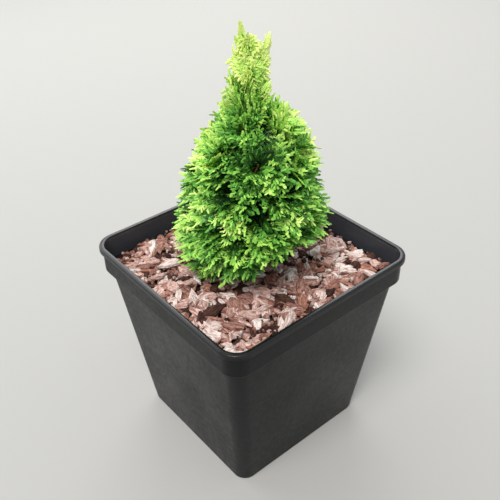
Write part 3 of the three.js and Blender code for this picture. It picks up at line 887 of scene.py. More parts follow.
# How many of each, how long, how wide as a share of that, how high they pile up, how far they tilt
CHIPS = (1150, 18, 0.58, 5.2, 38)
CRUMBS = (1300, 5.2, 0.8, 5.0, 50)
SPLINTERS = (80, 24, 0.2, 5.2, 16)
CHIP_SIZES = (0.45, 1.0)  # from the shortest to the common longest
CHIP_LONGER = 0.45  # how much longer the rare longest are
CHIP_BED = 2.6  # where the lowest lie, below the mulch's level
CHIP_LOOSE = 0.8
LOW_TILT = 0.4  # how much of their tilt the lowest have
CHIP_HALVES = (0.52, 0.5)  # of a chip's length and width, kept inside the rim
FLAKE_LEVELS = ((0.84, -0.5), (1.0, -0.12), (0.96, 0.26), (0.8, 0.5))  # a flake's size and height
FLAKE_TURN = 0.36  # how far its corners stray, as a share of their distance
FLAKE_REACHES = (0.64, 1.2)
FLAKE_UNEVEN = 0.06
FLAKE_ROUGH = 0.22
GRAIN_FINE = (0.7, 3)  # along a flake and across it
CRUMB_PALENESS = 0.6
PALE_PATCHES = (  # where the chips are paler, partly pale chips and partly painted light where the crown's shadow falls: x, y, reach, how much
    (58, 52, 22, 0.5),
    (48, 28, 16, 0.4),
    (-43, -68, 28, 0.35),
    (70, -70, 20, 0.3),
)
PALE_PATCH_BASE = 0.05


def make_soil(material):
    """Dark soil: a closed body that fills the pot, with a rough top."""
    rings = []
    for z in (FLOOR + CLEAR, COLLAR_FOOT * 0.5, COLLAR_FOOT):
        half = body_half(z) - WALL - CLEAR
        rings.append(rounded_square(half, half - corner_centre(z) + 0.01, z, *SOIL_STEPS))
    top = MULCH_TOP - SOIL_DROP
    for step in range(SOIL_RINGS + 1):
        share = 1 - step / SOIL_RINGS * 0.985
        ring = rounded_square(MULCH_HALF * share, MULCH_CORNER * share, top, *SOIL_STEPS)
        for point in ring:
            rough = noise.fractal(point / SOIL_LUMP, 1.0, 2.0, 3)
            point.z += SOIL_ROUGH * rough if step else -1.0
        rings.append(ring)
    return smooth_piece("soil", *loft(rings), material, sharp_over=60)


def flake_shape(name, roll, corners, breadth, thickness, curl):
    """A flake of bark one unit long: an uneven outline, broken edges and a slight curl."""
    outline = []
    for i in range(corners):
        angle = (i + roll(-FLAKE_TURN, FLAKE_TURN)) / corners * 2 * math.pi
        reach = roll(*FLAKE_REACHES)
        outline.append((0.5 * reach * math.cos(angle), 0.5 * breadth * reach * math.sin(angle)))
    rings = []
    for share, level in FLAKE_LEVELS:
        ring = []
        for x, y in outline:
            uneven = roll(-FLAKE_UNEVEN, FLAKE_UNEVEN)
            z = level * thickness * (1 + roll(-FLAKE_ROUGH, FLAKE_ROUGH)) + curl * (y / breadth) ** 2
            ring.append(Vector(((share + uneven) * x, (share + uneven) * y, z)))
        rings.append(ring)
    mesh = mesh_of(name, *loft(rings), unit=1)
    grain = mesh.uv_layers.new(name="grain")
    start = roll(0, 9)
    long, fine = GRAIN_FINE
    for corner in mesh.loops:
        x, y, z = mesh.vertices[corner.vertex_index].co
        grain.data[corner.index].uv = (start + x * long, start + y * fine + z * fine)
    return bpy.data.objects.new(name, mesh)


def shape_collection(name, shapes):
    collection = bpy.data.collections.new(name)
    for shape in shapes:
        collection.objects.link(shape)
    return collection


def forget(collection):
    """Removes shapes whose copies are made."""
    for shape in list(collection.objects):
        bpy.data.objects.remove(shape)
    bpy.data.collections.remove(collection)


def inside_rim(x, y):
    """Whether a point lies inside the round-cornered square of the mulch."""
    over_x = max(0, abs(x) - COLLAR_CENTRE)
    over_y = max(0, abs(y) - COLLAR_CENTRE)
    return math.hypot(over_x, over_y) <= MULCH_CORNER


def chip_spots(roll, count, length, breadth, rise, tilt):
    """Where chips lie: laid in turn from the lowest to the highest, none through the rim or trunk."""
    spots = []
    while len(spots) < count:
        share = len(spots) / count
        long = length * roll(*CHIP_SIZES) * (1 + CHIP_LONGER * roll() ** 4)
        wide = long * breadth
        x, y = roll(-MULCH_HALF, MULCH_HALF), roll(-MULCH_HALF, MULCH_HALF)
        way = level_way(roll(0, 2 * math.pi))
        side = Vector((-way.y, way.x, 0))
        half_long, half_wide = long * CHIP_HALVES[0], wide * CHIP_HALVES[1]
        ends = [way * (sx * half_long) + side * (sy * half_wide) for sx, sy in CORNERS]
        if not all(inside_rim(x + end.x, y + end.y) for end in ends):
            continue
        if math.hypot(x, y) < FOOT_ROOM + wide / 2:
            continue
        lean = math.radians(tilt * mix(LOW_TILT, 1, share))
        z = MULCH_TOP - CHIP_BED + rise * share + roll(0, CHIP_LOOSE)
        facing = UP + way * math.tan(roll(-lean, lean)) + side * math.tan(roll(-lean, lean))
        spots.append(((x, y, z), tuple(way), tuple(facing.normalized()), (long, long, long)))
    return spots


def paleness(spot, high):
    """How far a chip's colour goes from the low chips' to the high ones', paler in some places. The low
    chips' darker colours are painted shade in the gaps of the pile, and the pale places are partly pale
    chips and partly painted light.
    """
    for x, y, reach, more in PALE_PATCHES:
        high += more * math.exp(-((spot[0] - x) ** 2 + (spot[1] - y) ** 2) / reach ** 2)
    return max(0, min(1, high - PALE_PATCH_BASE))


def make_mulch(materials):
    """Flakes, crumbs and splinters of bark, dealt out by colour: a piece for each."""
    roll = dice(MULCH_SEED)
    flakes = shape_collection("Flakes", [
        flake_shape(f"flake_{i}", roll, 5 + i % 4, roll(0.3, 0.66), roll(0.13, 0.2), roll(-0.14, 0.2))
        for i in range(12)
    ])
    crumbs = shape_collection("Crumbs", [
        flake_shape(f"crumb_{i}", roll, 5, roll(0.6, 0.9), roll(0.35, 0.6), 0) for i in range(4)
    ])
    splinters = shape_collection("Splinters", [
        flake_shape(f"splinter_{i}", roll, 6, roll(0.13, 0.22), 0.07, roll(0, 0.05)) for i in range(3)
    ])
    chips, small, thin = (chip_spots(roll, *kind) for kind in (CHIPS, CRUMBS, SPLINTERS))
    dealt = {name: ([], []) for name in materials}
    for kind, spots in enumerate((chips, small)):
        for i, spot in enumerate(spots):
            # chips laid later lie higher and get paler tints; the darker low ones are painted shade
            # between the chips
            high = paleness(spot[0], i / len(spots) * (1 if spots is chips else CRUMB_PALENESS))
            weights = [mix(low, top, high) for _, low, top in materials.values()]
            pick = roll(0, sum(weights))
            for name, weight in zip(materials, weights):
                pick -= weight
                if pick <= 0:
                    break
            dealt[name][kind].append(spot)
    pieces = []
    for i, (name, (material, _, _)) in enumerate(materials.items()):
        flat, fine = dealt[name]
        pieces.append(strew(f"bark_{name}", flakes, flat, material, tilt=0.06, seed=i))
        pieces.append(strew(f"crumbs_{name}", crumbs, fine, material, tilt=0.5, seed=i))
    rust = materials["rust"][0]
    pieces.append(strew("splinters", splinters, thin, rust, tilt=0.03, seed=5))
    for collection in (flakes, crumbs, splinters):
        forget(collection)
    return pieces


# Crown: the plan of its masses

def crown_radius(h, angle):
    """The crown's radius at height h above the mulch, on the side that angle names."""
    below = BODY_BELOW if h < WIDEST_HEIGHT else BODY_ABOVE
    body = CROWN_RADIUS * math.sqrt(max(0, 1 - ((h - WIDEST_HEIGHT) / below) ** 2))
    spire = SPIRE_RADIUS * (1 - max(0, min(1, h / (PLANT_HEIGHT + SPIRE_ABOVE))) ** SPIRE_BLUNTNESS)
    fuller = FULLNESS * (h / PLANT_HEIGHT) * math.cos(angle - FULL_SIDE)
    thinner = SKIRT_SHIFT * max(0, 1 - h / WIDEST_HEIGHT) * math.cos(angle - THIN_SIDE)
    return max(body * (1 + fuller - thinner), spire)


def trunk_at(h):
    """The trunk's middle and radius at height h above the mulch."""
    share = h / TRUNK_TOP
    middle = Vector((
        TRUNK_LEAN * share - TRUNK_SWAY * math.sin(SWAY_TURNS[0] * share),
        TRUNK_SWAY * math.sin(SWAY_TURNS[1] * share),
        MULCH_TOP + CLEAR + h,
    ))
    flare = TRUNK_FLARE * math.exp(-h / FLARE_HEIGHT)
    return middle, mix(TRUNK_RADIUS, TRUNK_TIP_RADIUS, share) + flare


def plan():
    """Where each mass sits, in the same order and from the same rolls as the solids."""
    found = []
    roll = dice(PLAN_SEED)
    for tier in TIERS:
        for i in range(tier["count"]):
            turned = roll(-ANGLE_SHIFT, ANGLE_SHIFT)
            angle = math.radians(tier["turn"] + 360 / tier["count"] * i + turned)
            thin = max(0, math.cos(angle - THIN_SIDE))
            lift = SKIRT_LIFT * thin if tier["name"] == "skirt" else 0
            h = tier["middle"] + lift + roll(-HEIGHT_SHIFT, HEIGHT_SHIFT)
            foot = tier["foot"] + roll(*FOOT_SHIFT)
            out = level_way(angle)
            centre = trunk_at(h)[0] + out * (tier["out"] * crown_radius(h, angle))
            found.append({**tier, "out": out, "centre": centre, "foot": foot})
    centre = trunk_at(TRUNK_TOP)[0]
    centre.z = MULCH_TOP + TIP["middle"]
    found.append({**TIP, "out": Vector((1, 0, 0)), "centre": centre})
    return found


def height_share(point):
    """How high in the crown a point is, 0 at the mulch and 1 at the top."""
    return min(1, (point.z - MULCH_TOP) / PLANT_HEIGHT)


def off_trunk(mass):
    middle, radius = trunk_at(mass["foot"])
    return middle + mass["out"] * (radius + 2 * CLEAR)


def bough_path(mass, steps):
    """The bough's middle line: it sags a little on its way to the near side of its mass."""
    start = off_trunk(mass)
    end = start.lerp(mass["centre"], BOUGH_REACH)
    bend = start.lerp(end, BOUGH_BEND) - UP * BOUGH_SAG
    return [curved(start, bend, end, i / steps) for i in range(steps + 1)]


def stem_line(mass):
    """The two ends of the stem that a mass grows from."""
    if mass["bough"]:
        start = bough_path(mass, 8)[-1]
    elif mass["foot"] == TRUNK_TOP:
        start = trunk_at(TRUNK_TOP)[0]
    else:
        start = off_trunk(mass)
    return start, start.lerp(mass["centre"], STEM_REACH)


def walls_of(mass, masses):
    """The planes round a mass's own space, half way to each of the others."""
    walls = []
    for other in masses:
        if other is not mass:
            way = other["centre"] - mass["centre"]
            apart = way.length
            way.normalize()
            walls.append((way, mass["centre"].dot(way) + apart / 2 + INTERLEAVE))
    return walls


def inside_space(points, walls):
    """Whether points lie between the mass's walls, inside the crown and clear of the trunk."""
    for point in points:
        h = point.z - MULCH_TOP
        angle = math.atan2(point.y, point.x)
        far = math.hypot(point.x, point.y)
        raised = max(0, math.cos(angle - THIN_SIDE)) ** RAISED_NARROW * far / RAISED_OUT
        if h < SKIRT_GAP + RAISED * raised or h > SPRAY_TOP:
            return False
        edge = crown_radius(h, angle)
        full = max(0, math.cos(angle - FULL_SIDE)) * max(0, 1 - abs(h - FULL_MIDDLE) / FULL_REACH)
        room = EDGE_ROOM + FULL_ROOM * full + LOW_ROOM * max(0, 1 - h / LOW_REACH)
        if far > edge - room:
            return False
        valley = VALLEY * max(0, far / edge - VALLEY_START) / (1 - VALLEY_START)
        if any(point.dot(way) > limit - valley for way, limit in walls):
            return False
        middle, radius = trunk_at(min(h, TRUNK_TOP))
        if h < TRUNK_TOP - TRUNK_END and (point - middle).length < radius + TRUNK_ROOM:
            return False
    return True


def core_reach(mass, way):
    out, around, up = mass["core"]
    across = UP.cross(mass["out"])
    shares = (way.dot(mass["out"]) / out, way.dot(across) / around, way.z / up)
    return CORE_FILL / Vector(shares).length


def stance(mass, stem, k, count, roll):
    """Where the k-th spray of a mass stands: its root, the way it grows and the way it faces."""
    growth = raised_way(mass["out"], math.radians(mass["rise"]))
    across = UP.cross(mass["out"])
    over = growth.cross(across)
    turn = math.radians(GOLDEN_TURN * k + roll(-TURN_SHIFT, TURN_SHIFT))
    cap = 1 - math.cos(math.radians(mass["spread"]))
    opened = math.acos(1 - cap * (k + SPREAD_START) / count)
    normal = growth * math.cos(opened)
    normal += (across * math.cos(turn) + over * math.sin(turn)) * math.sin(opened)
    if not mass["core"]:
        root = stem[0].lerp(stem[1], mix(1, FIRST_ROOT, k / count))
        return root, normal, mass["out"].copy(), 1.0
    level = height_share(mass["centre"])
    depth = LAYERS[k % len(LAYERS)]
    root = mass["centre"] + normal * (depth * core_reach(mass, normal))
    away = root - trunk_at(min(TRUNK_TOP, root.z - MULCH_TOP))[0]
    away = Vector((away.x, away.y, 0)).normalized()
    aim = raised_way(away, math.radians(mix(*RISES, level)))
    way = (aim + normal * SPREAD_SHARE).normalized()
    face = UP * mix(*FACE_UP, level) + away * mix(*FACE_OUT, level)
    return root - way * ROOT_BACK, way, face, depth


# Foliage: sprays, shoots and twigs

def spray_frame(way, face):
    over = (face - way * face.dot(way)).normalized()
    return way, over.cross(way), over


def spray_outline(t):
    """Half of a spray's width at a share of its length, as a share of its breadth."""
    return 0.5 + 0.6 * math.sin(math.pi * (0.12 + 0.82 * t))


def spray_shoots(length, breadth, roll):
    """The shoots of a flat spray, as (start, end, width, rank) on its own plane. Rank runs from 0
    at its foot to 1 at its edge."""
    bend = roll(-AXIS_BEND, AXIS_BEND) * length
    size = math.sqrt(length / SPRAY_NORM)
    foot_width, middle_width = AXIS_WIDTHS
    wide = FINGER_WIDTH * size

    def axis(t):
        return Vector((t * length, bend * t * t))

    def ray(angle):
        return Vector((math.cos(angle), math.sin(angle)))

    shoots = [
        (axis(low), axis(top), width, rank)
        for (low, top, rank), width in zip(AXIS_SHOOTS, (foot_width, middle_width * size, wide))
    ]
    count = 2 * round(SIDE_SHOOTS * size)
    for i in range(count):
        side = 1 if i % 2 else -1
        t = SIDES_FROM + SIDES_SPAN * i / (count - 1) + roll(-SIDES_SHIFT, SIDES_SHIFT)
        reach = length * breadth * spray_outline(t)
        turn = SIDE_ANGLES[0] - SIDE_ANGLES[1] * t + roll(-SIDE_TURN, SIDE_TURN)
        angle = side * math.radians(turn)
        foot, way = axis(t), ray(angle)
        first, last = (foot + way * (reach * end) for end in SIDE_ENDS)
        shoots.append((foot, first, SIDE_WIDTH * size, SIDE_RANKS[0] + SIDE_RANKS[1] * t))
        shoots.append((last, foot + way * reach, wide, EDGE_RANK))
        forks = 1 + sum(reach > limit for limit in FORK_REACHES)
        for j in range(forks):
            s = (j + FORKS_APART[0]) / (forks + FORKS_APART[1])
            base = foot + way * (reach * s)
            fork = side if j % 2 else -side
            spread = angle + fork * math.radians(FORK_ANGLE + roll(-FORK_SHIFT, FORK_SHIFT))
            long = FINGER_LENGTH * size * mix(*FINGERS_SHORTER, s) * roll(*FINGER_LENGTHS)
            thick = wide * roll(*FINGER_WIDTHS)
            rank = FINGER_RANKS[0] + FINGER_RANKS[1] * s + FINGER_RANKS[2] * t
            shoots.append((base, base + ray(spread) * long, thick, rank))
    return shoots


def painted_patch_tone(spot):
    """How much paler the crown's patches make a spray that reaches this spot: painted light where they
    are paler and painted shade where they are darker.
    """
    tone = 0
    for x, y, high, reach, much in PAINTED_LIGHT_PATCHES:
        away = (spot - Vector((x, y, MULCH_TOP + high))).length
        tone += much * max(0, 1 - (away / reach) ** 2)
    return tone


def grow_spray(root, way, face, length, breadth, brightness, roll, found):
    """Adds the spots of one spray's shoots to found, each with how bright it is. The spray droops
    to its end and its sides cup."""
    along, across, over = spray_frame(way, face)
    droop = droop_at(root)
    half = length * breadth
    brightness += SPRAY_TONES * noise.noise(root / TONE_SIZE)
    # painted light and shade from the crown's patches
    brightness += painted_patch_tone(root + along * (length * TONE_PLACE))

    def bent(spot):
        x, y = spot
        lift = SPRAY_CUP * y * y / half - droop * length * (x / length) ** 2
        return Vector((x, y, lift))

    for start, end, width, rank in spray_shoots(length, breadth, roll):
        a, b = bent(start), bent(end)
        b.z += roll(-SHOOT_LIFT, SHOOT_LIFT) * rank
        place = root + along * a.x + across * a.y + over * a.z
        direction = along * (b.x - a.x) + across * (b.y - a.y) + over * (b.z - a.z)
        long = direction.length
        aside, ahead = (roll(-most, most) for most in SHOOT_TIPS)
        tipped = over + across * aside + along * ahead
        tone = brightness + RANK_TONE * rank + roll(-SHOOT_TONES, SHOOT_TONES)
        found.append((tuple(place), tuple(direction / long), tuple(tipped), (long, width, width), tone))


def shoot_shape():
    """A shoot one unit long: flat below, ridged above, with a round tip."""
    points, faces = [], []
    for x, width in SHOOT_WIDTHS:
        points += [(x, -width / 2, 0), (x, width / 2, 0), (x, 0, width * SHOOT_RIDGE)]
    points.append((1.0, 0, 0.05))
    for i in range(len(SHOOT_WIDTHS) - 1):
        for j in range(3):
            a, b = 3 * i + j, 3 * i + (j + 1) % 3
            faces.append((a, b, b + 3, a + 3))
    last = 3 * (len(SHOOT_WIDTHS) - 1)
    faces += [(last + j, last + (j + 1) % 3, last + 3) for j in range(3)]
    faces.append((2, 1, 0))
    return bpy.data.objects.new("shoot", mesh_of("shoot", points, faces, unit=1))


def droop_at(point):
    """How much sprays droop, by their height in the crown."""
    return mix(*SPRAY_DROOPS, max(0, height_share(point)))


def fitted_spray(root, way, face, full, breadth=SPRAY_BREADTH, walls=()):
    """A spray that stays within its space: its root, slid back if need be, and its length."""
    along, across, over = spray_frame(way, face)
    droop = droop_at(root)
    for size in SPRAY_SIZES:
        length = full * size
        end = along * length - over * (droop * length)
        middle = along * (length * SPRAY_MIDDLE) - over * (droop * length * SPRAY_MIDDLE ** 2)
        side = across * (length * breadth)
        for slide in SLIDES:
            slid = root - along * slide
            if inside_space([slid + end, slid + middle - side, slid + middle + side], walls):
                return slid, length
    return root, 0


def brightness_at(end, depth):
    """How bright a spray is: more so far out, near the surface and high in the crown. This is partly
    the young growth's own paler colour and partly painted light, with painted shade deep inside the
    crown and low down.
    """
    h = end.z - MULCH_TOP
    out = math.hypot(end.x, end.y) / crown_radius(h, math.atan2(end.y, end.x))
    high = max(0, h / PLANT_HEIGHT - HIGH_START)
    return DEPTH_TONE * (depth - PLAIN) + OUT_TONE * (min(out, OUT_MOST) - PLAIN) + HIGH_TONE * high


def mass_sprays(mass, walls, roll):
    """The sprays on a mass's own surface and in its layers: root, way, facing, length, brightness."""
    stem = stem_line(mass)
    breadth = SPRAY_BREADTH if mass["bough"] else SPIRE_BREADTH
    count = round(mass["sprays"] * (FINER if mass["bough"] else SPIRE_FINER))
    for k in range(count):
        root, way, face, depth = stance(mass, stem, k, count, roll)
        face = twisted(face, way, mix(*SPRAY_TWISTS, height_share(root)), roll)
        full = mass["spray"] * roll(*SPRAY_LENGTHS)
        root, length = fitted_spray(root, way, face, full, breadth, walls)
        if length:
            yield root, way, face, length, breadth, brightness_at(root + way * length, depth)


def inner_sprays(mass, roll):
    """Short dark sprays along a mass's bough and stem, inside the crown."""
    stem = stem_line(mass)
    path = [*bough_path(mass, 4)[1:], stem[0].lerp(stem[1], 0.5)]
    for k in range(INNER_SPRAYS):
        place = k / INNER_SPRAYS * (len(path) - 1)
        i = int(place)
        root = path[i].lerp(path[i + 1], place - i)
        along = (path[i + 1] - path[i]).normalized()
        across = along.cross(UP).normalized()
        turn = math.radians(GOLDEN_TURN * k + roll(-TURN_SHIFT, TURN_SHIFT))
        aside = across * math.cos(turn) + across.cross(along) * math.sin(turn)
        way = (along * INNER_ALONG + aside).normalized()
        face = UP + mass["out"] * INNER_FACE
        root, length = fitted_spray(root, way, face, roll(*INNER_LENGTHS))
        if length:
            yield root, way, face, length, SPRAY_BREADTH, brightness_at(root, 0) - INNER_SHADE


def leader_sprays(roll):
    """Narrow sprays straight from the trunk, from the lowest boughs up, more upright with height."""
    for k in range(LEADER_SPRAYS):
        h = mix(*LEADER_HEIGHTS, k / (LEADER_SPRAYS - 1))
        out = level_way(math.radians(GOLDEN_TURN * k))
        way = raised_way(out, math.radians(mix(*LEADER_RISES, h / TRUNK_TOP)))
        face = twisted(out, way, LEADER_TWIST, roll)
        middle, radius = trunk_at(h)
        root = middle + out * (radius * LEADER_ROOT)
        length = roll(*LEADER_LENGTHS) * mix(LEADER_LONGER, 1, h / TRUNK_TOP)
        bright = brightness_at(root + way * length, OPEN_DEPTH)
        yield root, way, face, length, SPIRE_BREADTH, bright


def between_sprays(roll):
    """Sprays between the masses, each at the end of a thin twig from the trunk."""
    for k in range(BETWEEN_SPRAYS):
        h = mix(*BETWEEN_HEIGHTS, k / (BETWEEN_SPRAYS - 1))
        turn = math.radians(GOLDEN_TURN * k + roll(-TURN_SHIFT, TURN_SHIFT))
        out = level_way(turn)
        way = raised_way(out, math.radians(mix(*RISES, h / PLANT_HEIGHT) * BETWEEN_RISE))
        face = twisted(UP + out, way, BETWEEN_TWIST, roll)
        around = crown_radius(h, turn)
        root = trunk_at(h)[0] + out * (BETWEEN_ROOT * around)
        root, length = fitted_spray(root, way, face, BETWEEN_LENGTH * around)
        if length:
            bright = brightness_at(root + way * length, OPEN_DEPTH)
            yield root, way, face, length, SPRAY_BREADTH, bright


def sprig_line(side, lean, foot, length):
    """A sprig's foot, its way, the way it leans and its length."""
    out, tilt = level_way(math.radians(side)), math.radians(lean)
    return trunk_at(foot)[0], out * math.sin(tilt) + UP * math.cos(tilt), out, length


def sprig_sprays(roll):
    """The upright sprigs at the top: small sprays to either side of a shoot, and one at its end."""
    for sprig in SPRIGS:
        start, way, out, length = sprig_line(*sprig)
        flat = out.cross(UP)
        across = flat.cross(way)
        for k in range(SPRIG_SPRAYS):
            share = k / (SPRIG_SPRAYS - 1)
            aside = across * (SPRIG_ASIDE if k % 2 else -SPRIG_ASIDE) * (1 - share ** 2)
            root = start + way * (length * mix(*SPRIG_SPAN, share))
            grown = (way + aside).normalized()
            face = twisted(flat, way, SPRIG_TWIST, roll)
            bright = brightness_at(root + grown * SPRIG_TONE_AT, SPRIG_DEPTH)
            long = roll(*SPRIG_LENGTHS) * (1 - SPRIG_SHORTER * share)
            yield root, grown, face, long, mix(*SPRIG_BREADTHS, share), bright


def grow_crown(masses):
    """Every spray of the crown: the spots of its shoots, each with how bright it is, and its twigs."""
    shoots, twigs = [], []
    for number, mass in enumerate(masses):
        roll = dice(FOLIAGE_SEED + number)
        stem = stem_line(mass)
        walls = walls_of(mass, masses)
        path = [stem[0].lerp(stem[1], i / STEM_STEPS) for i in range(STEM_STEPS + 1)]
        radii = [STEM_RADIUS * (1 - STEM_TAPER * i / STEM_STEPS) for i in range(STEM_STEPS + 1)]
        twigs.append((path, radii))
        inner = inner_sprays(mass, roll) if mass["bough"] else ()
        for spray in [*mass_sprays(mass, walls, roll), *inner]:
            root, way, _, length = spray[:4]
            grow_spray(*spray, roll, shoots)
            start = stem[0].lerp(stem[1], TWIG_FEET[0] + TWIG_FEET[1] * roll())
            bend = start.lerp(root, 0.5) + way * TWIG_BEND
            end = root + way * (length * TWIG_END)
            twigs.append(([start, start.lerp(bend, 0.6), bend.lerp(root, 0.5), end], TWIG_RADII))
    roll = dice(FOLIAGE_SEED - 1)
    for spray in [*leader_sprays(roll), *sprig_sprays(roll)]:
        grow_spray(*spray, roll, shoots)
    for spray in between_sprays(roll):
        root, way, _, length = spray[:4]
        grow_spray(*spray, roll, shoots)
        start, end = trunk_at(root.z - MULCH_TOP - BETWEEN_DROP)[0], root + way * (length * TWIG_END)
        twigs.append(([start, start.lerp(root, 0.5), root, end], BETWEEN_RADII))
    for sprig in SPRIGS:
        start, way, _, length = sprig_line(*sprig)
        path = [start + way * (length * share) for share, _ in SPRIG_STEM]
        twigs.append((path, [radius for _, radius in SPRIG_STEM]))
    return shoots, twigs


def make_foliage(masses, tints, twig_material):
    """The shoots, dealt out by how bright they are, a piece for each tint, and the twigs."""
    shoots, twigs = grow_crown(masses)
    shoots.sort(key=lambda shoot: shoot[4])
    shape = shape_collection("Shoots", [shoot_shape()])
    pieces, first = [], 0
    for name, share, material in tints:
        last = len(shoots) if name == tints[-1][0] else first + round(share * len(shoots))
        spots = [shoot[:4] for shoot in shoots[first:last]]
        pieces.append(strew(f"shoots_{name}", shape, spots, material))
        first = last
    forget(shape)
    pieces.append(grown_limbs("twigs", twigs, twig_material, sides=5))
    return pieces


# Trunk and boughs with their bark

BARK_ACROSS = (2.4, 16)  # how fine its ridges are round a limb, and how long along it
FLAKE_ACROSS = (6, 5)
FLAKE_RELIEF = 0.4
TRUNK_RELIEF = 0.17
TRUNK_RINGS = 130
TRUNK_SIDES = 36
TRUNK_SEED = 3
TRUNK_CLOSER = 1.15  # how much closer the rings stand at its foot
TRUNK_ROOT = 4  # how far it goes on into the mulch
BOUGH_RELIEF = 0.12
BOUGH_RINGS = 16
BOUGH_SIDES = 12
BOUGH_ROOT = 2.4  # how far it goes on into the trunk
BOUGH_COLLAR = 0.5  # how much thicker it starts
BARK_SMOOTH = 55  # degrees, where the bark's edges turn sharp
NO_LIMB = Vector((0.31, 0.95, 0.02))  # a way that no limb takes


def barked_ring(middle, along, radius, sides, relief, seed):
    """A ring of bark round a limb: long ridges and flakes stand out of its round section."""
    across = NO_LIMB.cross(along).normalized()
    over = along.cross(across)
    far = middle.dot(along)
    fine, stretch = BARK_ACROSS
    flake_fine, flake_stretch = FLAKE_ACROSS
    ring = []
    for j in range(sides):
        angle = 2 * math.pi * j / sides
        side = across * math.cos(angle) + over * math.sin(angle)
        place = Vector((side.x * fine + seed, side.y * fine, side.z * fine + far / stretch))
        spot = Vector((side.x * flake_fine, side.y * flake_fine + seed, far / flake_stretch))
        ridge = noise.fractal(place, 0.8, 2.1, 3)
        flake = FLAKE_RELIEF * relief * noise.noise(spot)
        ring.append(middle + side * (radius * (1 + relief * ridge + flake)))
    return ring


def make_trunk(material):
    rings = []
    for i in range(TRUNK_RINGS + 1):
        h = mix(-TRUNK_ROOT, TRUNK_TOP, (i / TRUNK_RINGS) ** TRUNK_CLOSER)
        middle, radius = trunk_at(max(h, 0))
        middle.z = MULCH_TOP + CLEAR + h
        rings.append(barked_ring(middle, UP, radius, TRUNK_SIDES, TRUNK_RELIEF, TRUNK_SEED))
    return smooth_piece("trunk_bark", *loft(rings), material, sharp_over=BARK_SMOOTH)


def barked_bough(mass, number):
    """A bough: it springs from inside the trunk, with a small collar, and tapers to its mass."""
    thick = BOUGH_RADIUS * (1 - mass["foot"] / (3 * PLANT_HEIGHT))
    path = bough_path(mass, BOUGH_RINGS)
    path.insert(0, path[0] - mass["out"] * BOUGH_ROOT)
    rings = []
    for i, middle in enumerate(path):
        along = (path[min(i + 1, BOUGH_RINGS + 1)] - path[max(i - 1, 0)]).normalized()
        radius = thick * (1 - BOUGH_TAPER * max(0, i - 1) / BOUGH_RINGS)
        radius *= 1 + BOUGH_COLLAR * math.exp(-i)
        rings.append(barked_ring(middle, along, radius, BOUGH_SIDES, BOUGH_RELIEF, number))
    return loft(rings)


def make_boughs(masses, material):
    carried = [mass for mass in masses if mass["bough"]]
    boughs = joined(barked_bough(mass, number) for number, mass in enumerate(carried))
    return smooth_piece("bough_bark", *boughs, material, sharp_over=BARK_SMOOTH)


# Stage

CAMERA_AT = Vector((0.3468, -0.2854, 0.4942))
CAMERA_AIM = Vector((0, 0, 0.168))
CAMERA_ROLL = math.radians(-1.08)
CAMERA_LENS = 51
FLOOR_HALF = 20
FLOOR_COLOUR = (170, 169, 166)
SKY_COLOUR = (0.93, 0.97, 1.0, 1)
SKY_STRENGTH = 0.62
LIGHTS = (  # name, kind, place, softness (degrees of the sun, metres of a panel), power and colour
    ("key", "SUN", (0.35, -0.65, 1.6), math.radians(28), 2.8, (1.0, 0.98, 0.95)),
    ("rim", "AREA", (-1.1, 0.9, 1.15), 1.1, 11, (1.0, 1.0, 0.98)),
    ("fill", "AREA", (-1.2, -0.3, 1.0), 1.2, 7, (0.95, 0.98, 1.0)),
)
LIGHTS_AIM = Vector((0, 0, 0.2))


def make_camera():
    """The photograph's viewpoint, turned to hold the whole plant and pot."""
    data = bpy.data.cameras.new("camera")
    data.lens = CAMERA_LENS
    data.sensor_width = 36
    data.clip_start = 0.01
    camera = new_object("camera", data)
    bpy.context.scene.camera = camera
    turn = (CAMERA_AIM - CAMERA_AT).to_track_quat("-Z", "Y").to_matrix()
    camera.matrix_world = (
        Matrix.Translation(CAMERA_AT) @ (turn @ Matrix.Rotation(CAMERA_ROLL, 3, "Z")).to_4x4()
    )


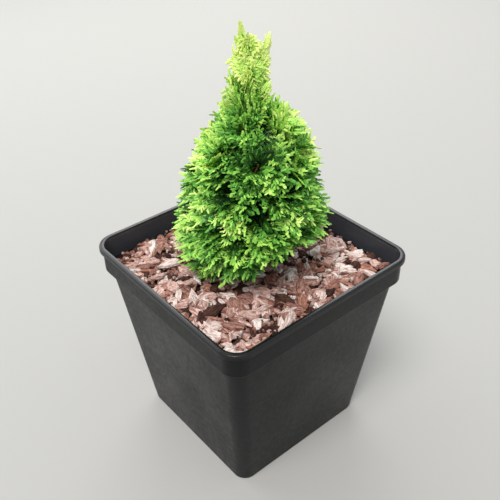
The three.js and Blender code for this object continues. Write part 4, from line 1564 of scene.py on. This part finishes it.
def add_light(name, kind, place, softness, power, tint):
    data = bpy.data.lights.new(name, kind)
    setattr(data, "angle" if kind == "SUN" else "size", softness)
    data.energy = power
    data.color = tint
    turn = (LIGHTS_AIM - Vector(place)).to_track_quat("-Z", "Y")
    light = new_object(name, data)
    light.matrix_world = Matrix.Translation(Vector(place)) @ turn.to_matrix().to_4x4()


def make_stage():
    corners = [(x * FLOOR_HALF, y * FLOOR_HALF, 0) for x, y in CORNERS]
    mesh = mesh_of("floor", corners, [(0, 1, 2, 3)], unit=1)
    material, _, shader = new_finish("floor_paint", roughness=0.9, specular=0.2)
    shader.inputs["Base Color"].default_value = colour(*FLOOR_COLOUR)
    new_piece("floor", mesh, material)
    scene = bpy.context.scene
    scene.view_settings.view_transform = "Standard"
    scene.view_settings.look = "None"
    world = bpy.data.worlds.new("sky")
    world.use_nodes = True
    sky = world.node_tree.nodes["Background"]
    sky.inputs["Color"].default_value = SKY_COLOUR
    sky.inputs["Strength"].default_value = SKY_STRENGTH
    scene.world = world
    for light in LIGHTS:
        add_light(*light)


def build():
    make_camera()
    make_stage()
    masses = plan()
    wood = bark_finish("trunk_wood", WOOD_COLOURS)
    twig = bark_finish("twig_wood", TWIG_COLOURS, roughness=0.7)
    tints = [(name, share, leaf_finish(f"leaf_{name}", tones)) for name, share, *tones in LEAF_TINTS]
    *shoots, twigs = make_foliage(masses, tints, twig)
    trunk = make_trunk(wood)
    boughs = make_boughs(masses, wood)
    pot = make_pot(plastic_finish())
    soil = make_soil(soil_finish())
    bark = make_mulch({
        name: (chip_finish(f"bark_{name}", tones), low, top) for name, low, top, *tones in BARK_TINTS
    })
    foliage_nodes = [name for name in NODES if name.startswith("foliage_")]
    bough_nodes = [name for name in NODES if name.startswith("bough_")]
    for pieces, slot, nodes in (
        (shoots, "foliage", foliage_nodes),
        ([twigs], "wood", foliage_nodes),
        ([trunk], "wood", ["trunk"]),
        ([boughs], "wood", bough_nodes),
        ([pot], "pot", ["pot"]),
        ([soil, *bark], "mulch", ["bark_mulch"]),
    ):
        for piece in pieces:
            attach(piece, "root")
            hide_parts(*nodes)


build()
